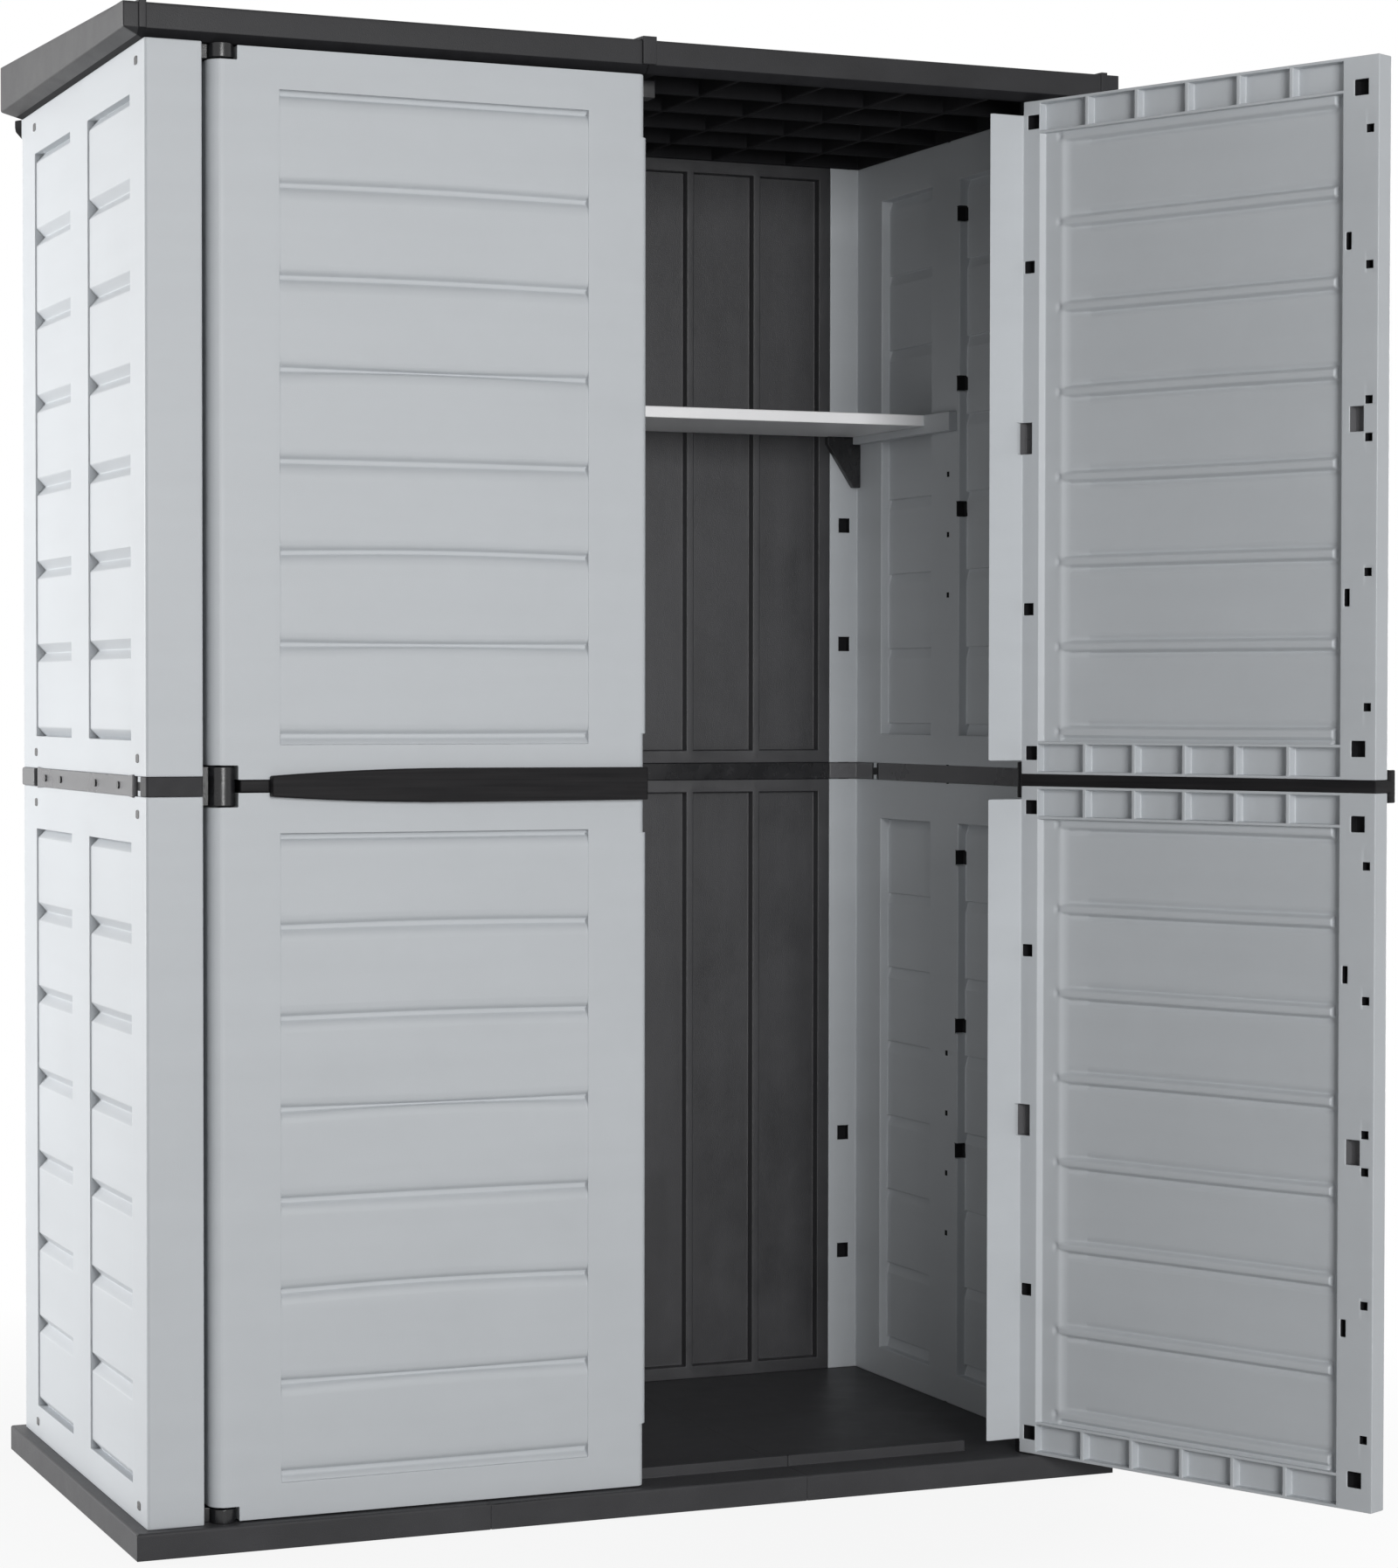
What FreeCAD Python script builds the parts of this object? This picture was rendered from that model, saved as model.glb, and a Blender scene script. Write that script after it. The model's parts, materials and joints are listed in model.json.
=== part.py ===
import FreeCAD
import Part
import Sketcher
import math
import os

# Garden storage cabinet: two tiers of double-wall side panels, a ribbed floor, a two-piece lid and two doors.
# Origin at the middle of the base's underside, +Z up, the doors face -Y. The left door is shut, the right one
# stands open.

doc = FreeCAD.newDocument("GardenCabinet")
sheet = doc.addObject("Spreadsheet::Sheet", "Sizes")

# Driving sizes, in millimetres, degrees, counts or shares of a length
sizes = {
    # body
    "bodyWidth": 1380,
    "bodyDepth": 725,
    "deckHeight": 35,
    "panelHeight": 940,
    "bandHeight": 26,
    "skin": 4,
    # floor sections
    "skirt": 18,
    "deckSkin": 5,
    "floorRib": 6,
    "floorCellsAcross": 4,
    "floorCellsDeep": 6,
    "deckChamfer": 2,
    "sillInset": 47,
    "sillWidth": 8,
    "sillHeight": 15,
    "sillEndInset": 185,
    # side panels
    "wallThickness": 50,
    "pillarWidth": 75,
    "pillarDepth": 78,
    "returnWidth": 98,
    "returnDepth": 24,
    "cornerRadius": 5,
    "frontColumnStart": 78,
    "frontColumnWidth": 236,
    "rearColumnStart": 417,
    "rearColumnWidth": 223,
    "innerFrontStart": 98,
    "innerFrontWidth": 245,
    "innerRearStart": 437,
    "innerRearWidth": 176,
    "fieldRecess": 2.5,
    "innerRecess": 14,
    "sideTopMargin": 61,
    "sideBottomMargin": 46,
    "grooveCount": 8,
    "sideGrooveDepth": 11,
    "sideGrooveHeight": 26,
    "innerGrooveDepth": 5,
    "innerGrooveHeight": 17,
    "socketWidth": 8,
    "socketHeight": 22,
    "highSocketShare": 0.88,
    "middleSocketShare": 0.61,
    "lowSocketShare": 0.41,
    "postHoleCount": 4,
    "postHolePitch": 91,
    "postHoleSide": 8,
    "postHoleDepth": 7,
    "postHoleInset": 32,
    "postHoleShare": 0.27,
    "hookSlotWidth": 18,
    "hookSlotInset": 14,
    "hookSlotDepth": 10,
    "highHookShare": 0.4,
    "lowHookShare": 0.2,
    "lugReach": 13,
    "lugHeight": 29,
    "lugTipHeight": 10,
    "lugThickness": 8,
    # locking pins of the side panels
    "lockWidth": 5,
    "lockHeight": 12,
    "lockDepth": 3,
    "lockProud": 0.5,
    "lockClearance": 0.1,
    "lockFrontInset": 44,
    "lockRearInset": 84,
    "lockEndInset": 23,
    # band between the tiers
    "cornerBandLength": 30,
    "bandClipLength": 30,
    "rearBandLength": 81,
    "rearClipLength": 23,
    "clipSetback": 3,
    "bandProud": 3,
    "bandFlare": 2,
    "bandFlareRun": 30,
    "screwHeadRadius": 5,
    "screwHeadHeight": 2,
    "screwRadius": 2.5,
    "screwLength": 20,
    "screwClearance": 0.1,
    "screwTipRoom": 1,
    "firstScrewShare": 0.13,
    "secondScrewShare": 0.36,
    "thirdScrewShare": 0.73,
    "lastScrewShare": 0.9,
    # back panels
    "backFrame": 20,
    "backSkin": 8,
    "backRib": 12,
    "backChannels": 5,
    # lid
    "roofOverhang": 28,
    "roofFrontOverhang": 2,
    "roofRearOverhang": 15,
    "roofLip": 11,
    "roofLipRun": 12,
    "fasciaHeight": 33,
    "roofRise": 32,
    "roofSkin": 5,
    "roofRib": 8,
    "roofEdge": 16,
    "roofCellsAcross": 5,
    "roofCellsDeep": 5,
    "roofRidgeWidth": 10,
    "roofRidgeOutset": 8,
    "roofRidgeProud": 2.5,
    "capWidth": 20,
    "capProud": 4.5,
    # doors
    "hingeInset": 103,
    "hingeDepth": 14,
    "hingeEdge": 19,
    "doorThickness": 34,
    "doorClearance": 2,
    "centreGap": 10,
    "railHeight": 17,
    "edgeRadius": 8,
    "wedgeFoot": 1,
    "wedgeHeight": 50,
    "notchHeight": 18.5,
    "notchReach": 18.5,
    "doorFieldStart": 75,
    "doorFieldWidth": 426,
    "doorTopMargin": 53,
    "doorBottomMargin": 45,
    "doorFieldRecess": 1,
    "doorGrooveDepth": 7,
    "doorGrooveHeight": 15,
    "doorInnerStart": 30,
    "doorInnerWidth": 497,
    "doorInnerRecess": 8,
    "doorInnerSlope": 5,
    "boardStart": 65,
    "boardDepth": 4,
    "barWidth": 446,
    "barHeight": 12.5,
    "doorCells": 6,
    "doorCellMargin": 4,
    "doorCellHeight": 38,
    "doorCellDepth": 14,
    "doorCellRib": 6,
    "holeDepth": 14,
    "hingePocketPlace": 7.5,
    "hingePocketWidth": 21,
    "hingePocketHeight": 44,
    "hingeEndHolePlace": 18.5,
    "hingeEndHoleSide": 19.5,
    "hingeEndHoleShare": 0.47,
    "hingeHolePlace": 12.5,
    "hingeHoleSide": 17,
    "hingeHoleShare": 0.255,
    "latchPocketPlace": 23,
    "latchPocketWidth": 21,
    "latchPocketHeight": 33,
    "latchHolePlace": 28,
    "latchHoleSide": 21,
    "latchHoleShare": 0.458,
    "latchNotchPlace": 9.5,
    "latchNotchWidth": 8,
    "latchNotchHeight": 23,
    "latchNotchShare": 0.2475,
    "keyHolePlace": 42,
    "keyHoleSide": 11,
    "outerKeyHoleShare": 0.4,
    "middleKeyHoleShare": 0.2125,
    "innerKeyHoleShare": 0.026,
    "lipReach": 3.5,
    "lipDepth": 12,
    "lipRailMargin": 58,
    "lipEndMargin": 84,
    "rightDoorOpen": 114.5,
    # handle rails
    "railStart": 21,
    "barStart": 60,
    "barStartHeight": 27,
    "barPeakReach": 313,
    "barPeakHeight": 45,
    "barEndHeight": 43.6,
    "barProud": 15,
    # hinge blocks
    "barrelRadius": 17,
    "barrelClearance": 0.5,
    "armFront": 6,
    "armRear": 36,
    "pinRadius": 5,
    "pinClearance": 0.05,
    "pinReach": 16,
    "boreDepth": 18,
    # shelf
    "shelfLevel": 1516.5,
    "shelfThickness": 17,
    "shelfFront": 435,
    "shelfRearGap": 1,
    "shelfRailFront": 350,
    "shelfRailWidth": 14,
    "shelfRailDrop": 12,
    "gussetWidth": 57,
    "gussetDrop": 80,
    "gussetThickness": 12,
    # door catch under the lid
    "catchWidth": 60,
    "catchDepth": 30,
    "catchHeight": 24,
    "catchInset": 50,
    "catchNotchWidth": 24,
    "catchNotchHeight": 14,
}


class Size:
    # A number that keeps the expression it is worked out by, so that a feature can be bound to it
    def __init__(self, number, text):
        self.number = number
        self.text = text

    def __add__(self, other):
        other = as_size(other)
        return Size(self.number + other.number, f"({self.text} + {other.text})")

    def __sub__(self, other):
        other = as_size(other)
        return Size(self.number - other.number, f"({self.text} - {other.text})")

    def __mul__(self, other):
        other = as_size(other)
        return Size(self.number * other.number, f"({self.text} * {other.text})")

    def __truediv__(self, other):
        other = as_size(other)
        return Size(self.number / other.number, f"({self.text} / {other.text})")

    def __neg__(self):
        return Size(-self.number, f"(0 - {self.text})")


def as_size(value):
    if isinstance(value, Size):
        return value
    return Size(value, f"({value})")


class Sheet:
    # The cells of the sheet, read by name
    def __getattr__(self, name):
        return Size(sizes[name], "Sizes." + name)


for line, (alias, value) in enumerate(sizes.items(), start=1):
    sheet.set(f"A{line}", alias)
    sheet.set(f"B{line}", str(value))
    sheet.setAlias(f"B{line}", alias)
doc.recompute()
size = Sheet()

# Levels and faces that several pieces share
lowerBottom = size.deckHeight
lowerTop = lowerBottom + size.panelHeight
upperBottom = lowerTop + size.bandHeight
roofSeat = upperBottom + size.panelHeight
bandMiddle = lowerTop + size.bandHeight / 2
halfWidth = size.bodyWidth / 2
halfDepth = size.bodyDepth / 2
leftFace = -halfWidth
frontFace = -halfDepth
hingeX = leftFace + size.hingeInset
hingeY = frontFace + size.hingeDepth
doorBottom = lowerBottom + size.doorClearance
doorTop = roofSeat - size.doorClearance
doorPanelHeight = (doorTop - doorBottom - size.railHeight) / 2
upperDoorBottom = doorBottom + doorPanelHeight + size.railHeight
doorReach = halfWidth - size.hingeInset - size.centreGap / 2
doorInside = size.doorThickness - size.hingeDepth
barrelSeat = size.barrelRadius + size.barrelClearance


def bind(thing, path, value):
    thing.setExpression(path, as_size(value).text)


def place(thing, x, y, z):
    bind(thing, "Placement.Base.x", x)
    bind(thing, "Placement.Base.y", y)
    bind(thing, "Placement.Base.z", z)


def rectangle(left, right, bottom, top):
    return [(left, bottom), (right, bottom), (right, top), (left, top)]


def upright_slot(across, up, width, height):
    # A slot with half-round ends, standing on its narrow end
    side = width / 2
    straight = (height - width) / 2
    return [
        (across + side, up - straight),
        (across + side, up + straight, across, up + straight, 1),
        (across - side, up + straight),
        (across - side, up - straight, across, up - straight, 1),
    ]


class Circle:
    def __init__(self, across, up, radius):
        self.across = as_size(across)
        self.up = as_size(up)
        self.radius = as_size(radius)


class Piece:
    # A body built from outlines drawn on its own origin planes, each padded or cut along the third axis
    axes = {"XY": 1, "XZ": -1, "YZ": 1}

    def __init__(self, label, x=0, y=0, z=0):
        self.body = doc.addObject("PartDesign::Body", label)
        self.body.Label = label
        place(self.body, x, y, z)

    def origin_feature(self, role):
        for feature in self.body.Origin.OriginFeatures:
            if feature.Role == role:
                return feature

    def sketch(self, plane, level, outlines):
        sketch = self.body.newObject("Sketcher::SketchObject", self.body.Label + "_sketch")
        sketch.AttachmentSupport = [(self.origin_feature(plane + "_Plane"), "")]
        sketch.MapMode = "FlatFace"
        bind(sketch, "AttachmentOffset.Base.z", level * self.axes[plane])
        for outline in outlines:
            if isinstance(outline, Circle):
                add_circle(sketch, outline)
            else:
                add_outline(sketch, outline)
        return sketch

    def feature(self, kind, plane, start, end, outlines):
        start = as_size(start)
        end = as_size(end)
        upward = end.number > start.number
        along = upward == (self.axes[plane] > 0)
        feature = self.body.newObject("PartDesign::" + kind, self.body.Label + "_" + kind.lower())
        feature.Profile = self.sketch(plane, start, outlines)
        bind(feature, "Length", end - start if upward else start - end)
        feature.Reversed = not along if kind == "Pad" else along
        self.body.Tip = feature
        return feature

    def add(self, plane, start, end, *outlines):
        return self.feature("Pad", plane, start, end, outlines)

    def cut(self, plane, start, end, *outlines):
        return self.feature("Pocket", plane, start, end, outlines)

    def repeat(self, features, axis, step, count):
        pattern = self.body.newObject("PartDesign::LinearPattern", self.body.Label + "_row")
        pattern.Originals = features
        pattern.Direction = (self.origin_feature(axis + "_Axis"), [""])
        bind(pattern, "Length", step * (count - 1))
        bind(pattern, "Occurrences", count)
        self.body.Tip = pattern
        return pattern


def fix_point(sketch, geometry, vertex, across, up):
    for kind, value in (("DistanceX", across), ("DistanceY", up)):
        if value is not None:
            value = as_size(value)
            number = sketch.addConstraint(Sketcher.Constraint(kind, -1, 1, geometry, vertex, value.number))
            sketch.setExpression(f"Constraints[{number}]", value.text)


def add_circle(sketch, circle):
    centre = FreeCAD.Vector(circle.across.number, circle.up.number, 0)
    geometry = sketch.addGeometry(Part.Circle(centre, FreeCAD.Vector(0, 0, 1), circle.radius.number))
    number = sketch.addConstraint(Sketcher.Constraint("Radius", geometry, circle.radius.number))
    sketch.setExpression(f"Constraints[{number}]", circle.radius.text)
    fix_point(sketch, geometry, 3, circle.across, circle.up)


def add_outline(sketch, corners):
    # A corner is (across, up). Where the edge after it is an arc, the arc's centre and turn, 1 or -1, follow
    corners = [tuple(as_size(value) for value in corner) for corner in corners]
    points = [FreeCAD.Vector(corner[0].number, corner[1].number, 0) for corner in corners]
    edges = []
    for place_in_row, corner in enumerate(corners):
        start = points[place_in_row]
        end = points[(place_in_row + 1) % len(points)]
        if len(corner) == 2:
            edges.append((sketch.addGeometry(Part.LineSegment(start, end)), 1, 2))
            continue
        centre = FreeCAD.Vector(corner[2].number, corner[3].number, 0)
        anticlockwise = corner[4].number > 0
        first, last = (start, end) if anticlockwise else (end, start)
        angles = [math.atan2((point - centre).y, (point - centre).x) for point in (first, last)]
        circle = Part.Circle(centre, FreeCAD.Vector(0, 0, 1), (start - centre).Length)
        geometry = sketch.addGeometry(Part.ArcOfCircle(circle, angles[0], angles[1]))
        edges.append((geometry, 1, 2) if anticlockwise else (geometry, 2, 1))
    for place_in_row, corner in enumerate(corners):
        geometry, first, last = edges[place_in_row]
        following = edges[(place_in_row + 1) % len(edges)]
        sketch.addConstraint(Sketcher.Constraint("Coincident", geometry, last, following[0], following[1]))
        fix_point(sketch, geometry, first, corner[0], corner[1])
        if len(corner) > 2:
            end = points[(place_in_row + 1) % len(points)]
            level = abs(end.y - points[place_in_row].y) < 0.01
            fix_point(sketch, geometry, 3, None if level else corner[2], corner[3] if level else None)


def mirrored(source, label):
    # The same piece on the other side of the middle plane
    copy = doc.addObject("Part::Mirroring", label)
    copy.Label = label
    copy.Source = source
    copy.Normal = FreeCAD.Vector(1, 0, 0)
    return copy


# Floor


def floor_section(label, start, end, sillStart, outside):
    piece = Piece(label)
    deck = size.deckHeight
    chamfer = size.deckChamfer
    front = frontFace - size.skirt
    rear = halfDepth + size.skirt
    piece.add(
        "YZ",
        start,
        end,
        [
            (front, 0),
            (rear, 0),
            (rear, deck - chamfer),
            (rear - chamfer, deck),
            (front + chamfer, deck),
            (front, deck - chamfer),
        ],
    )
    if outside:
        piece.cut("XZ", front, rear, [(start, deck - chamfer), (start + chamfer, deck), (start, deck)])
    sillFront = frontFace + size.sillInset
    sill = rectangle(sillStart, end, sillFront, sillFront + size.sillWidth)
    piece.add("XY", deck, deck + size.sillHeight, sill)
    # open cells between the ribs of the underside
    rib = size.floorRib
    pitchX = (end - start - rib) / size.floorCellsAcross
    pitchY = (rear - front - rib) / size.floorCellsDeep
    column = []
    for cell in range(sizes["floorCellsDeep"]):
        near = front + rib + pitchY * cell
        column.append(rectangle(start + rib, start + pitchX, near, near + pitchY - rib))
    cells = piece.cut("XY", 0, deck - size.deckSkin, *column)
    piece.repeat([cells], "X", pitchX, size.floorCellsAcross)
    return piece.body


floorSeam = leftFace + size.bodyWidth / 3
floorLeft = floor_section("floor_left", leftFace - size.skirt, floorSeam, leftFace + size.sillEndInset, True)
floorMiddle = floor_section("floor_middle", floorSeam, -floorSeam, floorSeam, False)
floorRight = mirrored(floorLeft, "floor_right")


# Side panels, drawn from the outer front corner of the left wall


def lock_places():
    places = []
    for inset in (size.lockFrontInset, size.bodyDepth - size.lockRearInset):
        for level in (size.lockEndInset, size.panelHeight - size.lockEndInset):
            places.append((inset, level))
    return places


def side_panel(label, level, withLug):
    piece = Piece(label, leftFace, frontFace, level)
    wall = size.wallThickness
    depth = size.bodyDepth
    height = size.panelHeight
    radius = size.cornerRadius
    returnFront = depth - size.returnDepth
    piece.add(
        "XY",
        0,
        height,
        [
            (radius, 0),
            (size.pillarWidth, 0),
            (size.pillarWidth, size.pillarDepth),
            (wall, size.pillarDepth),
            (wall, returnFront),
            (size.returnWidth, returnFront),
            (size.returnWidth, depth),
            (radius, depth, radius, depth - radius, 1),
            (0, depth - radius),
            (0, radius, radius, radius, 1),
        ],
    )
    if withLug:
        piece.add(
            "YZ",
            0,
            size.lugThickness,
            [
                (depth - radius, height),
                (depth - radius, height - size.lugHeight),
                (depth, height - size.lugHeight),
                (depth + size.lugReach, height - size.lugTipHeight),
                (depth + size.lugReach, height),
            ],
        )
    # recessed fields, with two columns outside and two between the posts inside
    low = size.sideBottomMargin
    high = height - size.sideTopMargin
    frontEnd = size.frontColumnStart + size.frontColumnWidth
    rearEnd = size.rearColumnStart + size.rearColumnWidth
    innerFrontEnd = size.innerFrontStart + size.innerFrontWidth
    innerRearEnd = size.innerRearStart + size.innerRearWidth
    outer = ((size.frontColumnStart, frontEnd), (size.rearColumnStart, rearEnd))
    inner = ((size.innerFrontStart, innerFrontEnd), (size.innerRearStart, innerRearEnd))
    recess = size.fieldRecess
    bottom = wall - size.innerRecess
    piece.cut("YZ", 0, recess, *[rectangle(start, end, low, high) for start, end in outer])
    piece.cut("YZ", wall, bottom, *[rectangle(start, end, low, high) for start, end in inner])
    # board lines outside: a V between each two boards, and half of one at the top and bottom of the field
    spread = size.sideGrooveHeight / 2
    apex = recess + size.sideGrooveDepth
    pitch = (high - low) / (size.grooveCount - 1)
    first = low + pitch
    full = [(recess, first - spread), (apex, first), (recess, first + spread)]
    lowHalf = [(recess, low), (apex, low), (recess, low + spread)]
    highHalf = [(recess, high), (recess, high - spread), (apex, high)]
    for start, end in outer:
        piece.cut("XZ", start, end, lowHalf, highHalf)
    grooves = [piece.cut("XZ", start, end, full) for start, end in outer]
    piece.repeat(grooves, "Z", pitch, size.grooveCount - 2)
    # board lines inside: a level ledge above, a slope that runs out below
    line = low + size.innerGrooveHeight
    inward = [(bottom, line), (bottom - size.innerGrooveDepth, line), (bottom, low)]
    innerGrooves = [piece.cut("XZ", start, end, inward) for start, end in inner]
    innerPitch = (high - line) / (size.grooveCount - 1)
    piece.repeat(innerGrooves, "Z", innerPitch, size.grooveCount)
    # closed hollows of the wall and of the front pillar
    skin = size.skin
    wallHollow = rectangle(
        apex + skin,
        bottom - size.innerGrooveDepth - skin,
        size.pillarDepth + skin,
        returnFront - skin,
    )
    pillarHollow = rectangle(size.lockDepth + skin, size.pillarWidth - skin, skin, size.pillarDepth - skin)
    piece.cut("XY", skin, height - skin, wallHollow)
    piece.cut("XY", skin, height - skin, pillarHollow)
    # square sockets in the front edge of the post, then the small holes in its face
    sockets = []
    for share in (size.highSocketShare, size.middleSocketShare, size.lowSocketShare):
        middle = height * share
        half = size.socketHeight / 2
        sockets.append(rectangle(bottom, wall, middle - half, middle + half))
    piece.cut("XZ", innerFrontEnd, innerFrontEnd + size.socketWidth, *sockets)
    holeFront = innerFrontEnd + size.postHoleInset
    holeBottom = height * size.postHoleShare
    hole = rectangle(holeFront, holeFront + size.postHoleSide, holeBottom, holeBottom + size.postHoleSide)
    holes = piece.cut("YZ", wall, wall - size.postHoleDepth, hole)
    piece.repeat([holes], "Z", size.postHolePitch, size.postHoleCount)
    # hook slots in the rear return
    slotStart = wall + size.hookSlotInset
    slots = []
    for share in (size.highHookShare, size.lowHookShare):
        middle = height * share
        half = size.socketHeight / 2
        slots.append(rectangle(slotStart, slotStart + size.hookSlotWidth, middle - half, middle + half))
    piece.cut("XZ", returnFront, returnFront + size.hookSlotDepth, *slots)
    # seats of the locking pins
    seats = [upright_slot(inset, up, size.lockWidth, size.lockHeight) for inset, up in lock_places()]
    piece.cut("YZ", 0, size.lockDepth, *seats)
    return piece.body


def panel_pins():
    piece = Piece("panel_pins_left", leftFace, frontFace, 0)
    piece.body.AllowCompound = True
    pins = []
    for level in (lowerBottom, upperBottom):
        for inset, up in lock_places():
            narrowed = size.lockWidth - size.lockClearance * 2
            shortened = size.lockHeight - size.lockClearance * 2
            pins.append(upright_slot(inset, level + up, narrowed, shortened))
    piece.add("YZ", -size.lockProud, size.lockDepth, *pins)
    return piece.body


lowerSide = side_panel("side_panel_lower_left", lowerBottom, False)
upperSide = side_panel("side_panel_upper_left", upperBottom, True)
pinsLeft = panel_pins()


# Band between the tiers, drawn from the outer front corner of the lower panel's top


def screw_places():
    start = size.cornerBandLength + size.bandClipLength
    length = size.bodyDepth - size.rearBandLength - size.rearClipLength - start
    shares = (size.firstScrewShare, size.secondScrewShare, size.thirdScrewShare, size.lastScrewShare)
    return [start + length * share for share in shares]


def side_band():
    piece = Piece("side_band_left", leftFace, frontFace, lowerTop)
    start = size.cornerBandLength + size.bandClipLength
    end = size.bodyDepth - size.rearBandLength - size.rearClipLength
    height = size.bandHeight
    flare = size.bandFlare
    run = size.bandFlareRun
    piece.add("XY", 0, height, rectangle(0, size.wallThickness, start, end))
    # outer strip with flared ends, proud of the wall
    piece.add(
        "YZ",
        0,
        -size.bandProud,
        [
            (start, -flare),
            (start + run, 0),
            (end - run, 0),
            (end, -flare),
            (end, height + flare),
            (end - run, height),
            (start + run, height),
            (start, height + flare),
        ],
    )
    bores = [Circle(along, height / 2, size.screwRadius) for along in screw_places()]
    piece.cut("YZ", -size.bandProud, size.screwLength + size.screwTipRoom, *bores)
    return piece.body


def band_screws():
    piece = Piece("band_screws_left", leftFace, frontFace, lowerTop)
    piece.body.AllowCompound = True
    middle = size.bandHeight / 2
    face = -size.bandProud
    radius = size.screwRadius - size.screwClearance
    heads = [Circle(along, middle, size.screwHeadRadius) for along in screw_places()]
    shanks = [Circle(along, middle, radius) for along in screw_places()]
    piece.add("YZ", face, face - size.screwHeadHeight, *heads)
    piece.add("YZ", face, size.screwLength, *shanks)
    return piece.body


def front_corner_band():
    piece = Piece("front_corner_band_left", leftFace, frontFace, lowerTop)
    radius = size.cornerRadius
    wall = size.wallThickness
    piece.add(
        "XY",
        0,
        size.bandHeight,
        [
            (radius, 0),
            (size.pillarWidth, 0),
            (size.pillarWidth, size.pillarDepth),
            (wall, size.pillarDepth),
            (wall, size.cornerBandLength),
            (0, size.cornerBandLength),
            (0, radius, radius, radius, 1),
        ],
    )
    return piece.body


def rear_corner_band():
    piece = Piece("rear_corner_band_left", leftFace, frontFace, lowerTop)
    radius = size.cornerRadius
    wall = size.wallThickness
    depth = size.bodyDepth
    front = depth - size.rearBandLength
    piece.add(
        "XY",
        0,
        size.bandHeight,
        [
            (0, front),
            (wall, front),
            (wall, depth - size.returnDepth),
            (size.returnWidth, depth - size.returnDepth),
            (size.returnWidth, depth),
            (radius, depth, radius, depth - radius, 1),
            (0, depth - radius),
        ],
    )
    return piece.body


def band_clips():
    piece = Piece("band_clips_left", leftFace, frontFace, lowerTop)
    piece.body.AllowCompound = True
    front = size.cornerBandLength
    rear = size.bodyDepth - size.rearBandLength - size.rearClipLength
    wall = size.wallThickness
    piece.add(
        "XY",
        0,
        size.bandHeight,
        rectangle(size.clipSetback, wall, front, front + size.bandClipLength),
        rectangle(size.clipSetback, wall, rear, rear + size.rearClipLength),
    )
    return piece.body


def back_band():
    piece = Piece("back_band", 0, 0, lowerTop)
    side = halfWidth - size.returnWidth
    piece.add("XY", 0, size.bandHeight, rectangle(-side, side, halfDepth - size.returnDepth, halfDepth))
    return piece.body


sideBand = side_band()
bandScrews = band_screws()
frontCornerBand = front_corner_band()
rearCornerBand = rear_corner_band()
bandClips = band_clips()
backBand = back_band()


# Back panels: a thin skin behind upright ribs


def back_panel(label, level):
    piece = Piece(label, 0, 0, level)
    start = leftFace + size.returnWidth
    inside = halfDepth - size.returnDepth
    piece.add("XY", 0, size.panelHeight, rectangle(start, 0, inside, halfDepth))
    frame = size.backFrame
    rib = size.backRib
    pitch = (-start - frame * 2 + rib) / size.backChannels
    channel = rectangle(start + frame, start + frame + pitch - rib, frame, size.panelHeight - frame)
    channels = piece.cut("XZ", inside, halfDepth - size.backSkin, channel)
    piece.repeat([channels], "X", pitch, size.backChannels)
    return piece.body


lowerBack = back_panel("back_panel_lower_left", lowerBottom)
upperBack = back_panel("back_panel_upper_left", upperBottom)


# Lid, drawn from its seat on the upper panels

roofFront = frontFace - size.roofFrontOverhang
roofRear = halfDepth + size.roofRearOverhang
roofFrontTop = size.roofLip + size.fasciaHeight
roofRearTop = roofFrontTop + size.roofRise


def roof_top(along):
    # Height of the sloping top at a distance behind the front edge
    return roofFrontTop + size.roofRise * (along - roofFront) / (roofRear - roofFront)


def roof_half():
    piece = Piece("roof_left", 0, 0, roofSeat)
    outside = leftFace - size.roofOverhang
    piece.add(
        "YZ",
        outside,
        0,
        [
            (roofFront, size.roofLip),
            (roofFront + size.roofLipRun, 0),
            (halfDepth, 0),
            (roofRear, size.roofLip),
            (roofRear, roofRearTop),
            (roofFront, roofFrontTop),
        ],
    )
    # slanted underside of the side overhang
    piece.cut("XZ", roofFront, roofRear, [(outside, 0), (leftFace, 0), (outside, size.roofLip)])
    # low ridge over the top and down the edges, in line with the wall
    proud = size.roofRidgeProud
    ridgeStart = leftFace - size.roofRidgeOutset
    piece.add(
        "YZ",
        ridgeStart,
        ridgeStart + size.roofRidgeWidth,
        [
            (roofFront - proud, size.roofLip),
            (roofRear + proud, size.roofLip),
            (roofRear + proud, roofRearTop + proud),
            (roofFront - proud, roofFrontTop + proud),
        ],
    )
    # open cells of the underside, under a top skin of even thickness
    rib = size.roofRib
    near = frontFace + size.roofEdge
    pitchY = (halfDepth - size.returnDepth - near + rib) / size.roofCellsDeep
    cellStart = leftFace + size.wallThickness
    pitchX = (-size.roofEdge - cellStart + rib) / size.roofCellsAcross
    cells = []
    for cell in range(sizes["roofCellsDeep"]):
        front = near + pitchY * cell
        rear = front + pitchY - rib
        rearTop = roof_top(rear) - size.roofSkin
        frontTop = roof_top(front) - size.roofSkin
        cells.append([(front, 0), (rear, 0), (rear, rearTop), (front, frontTop)])
    row = piece.cut("YZ", cellStart, cellStart + pitchX - rib, *cells)
    piece.repeat([row], "X", pitchX, size.roofCellsAcross)
    return piece.body


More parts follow.
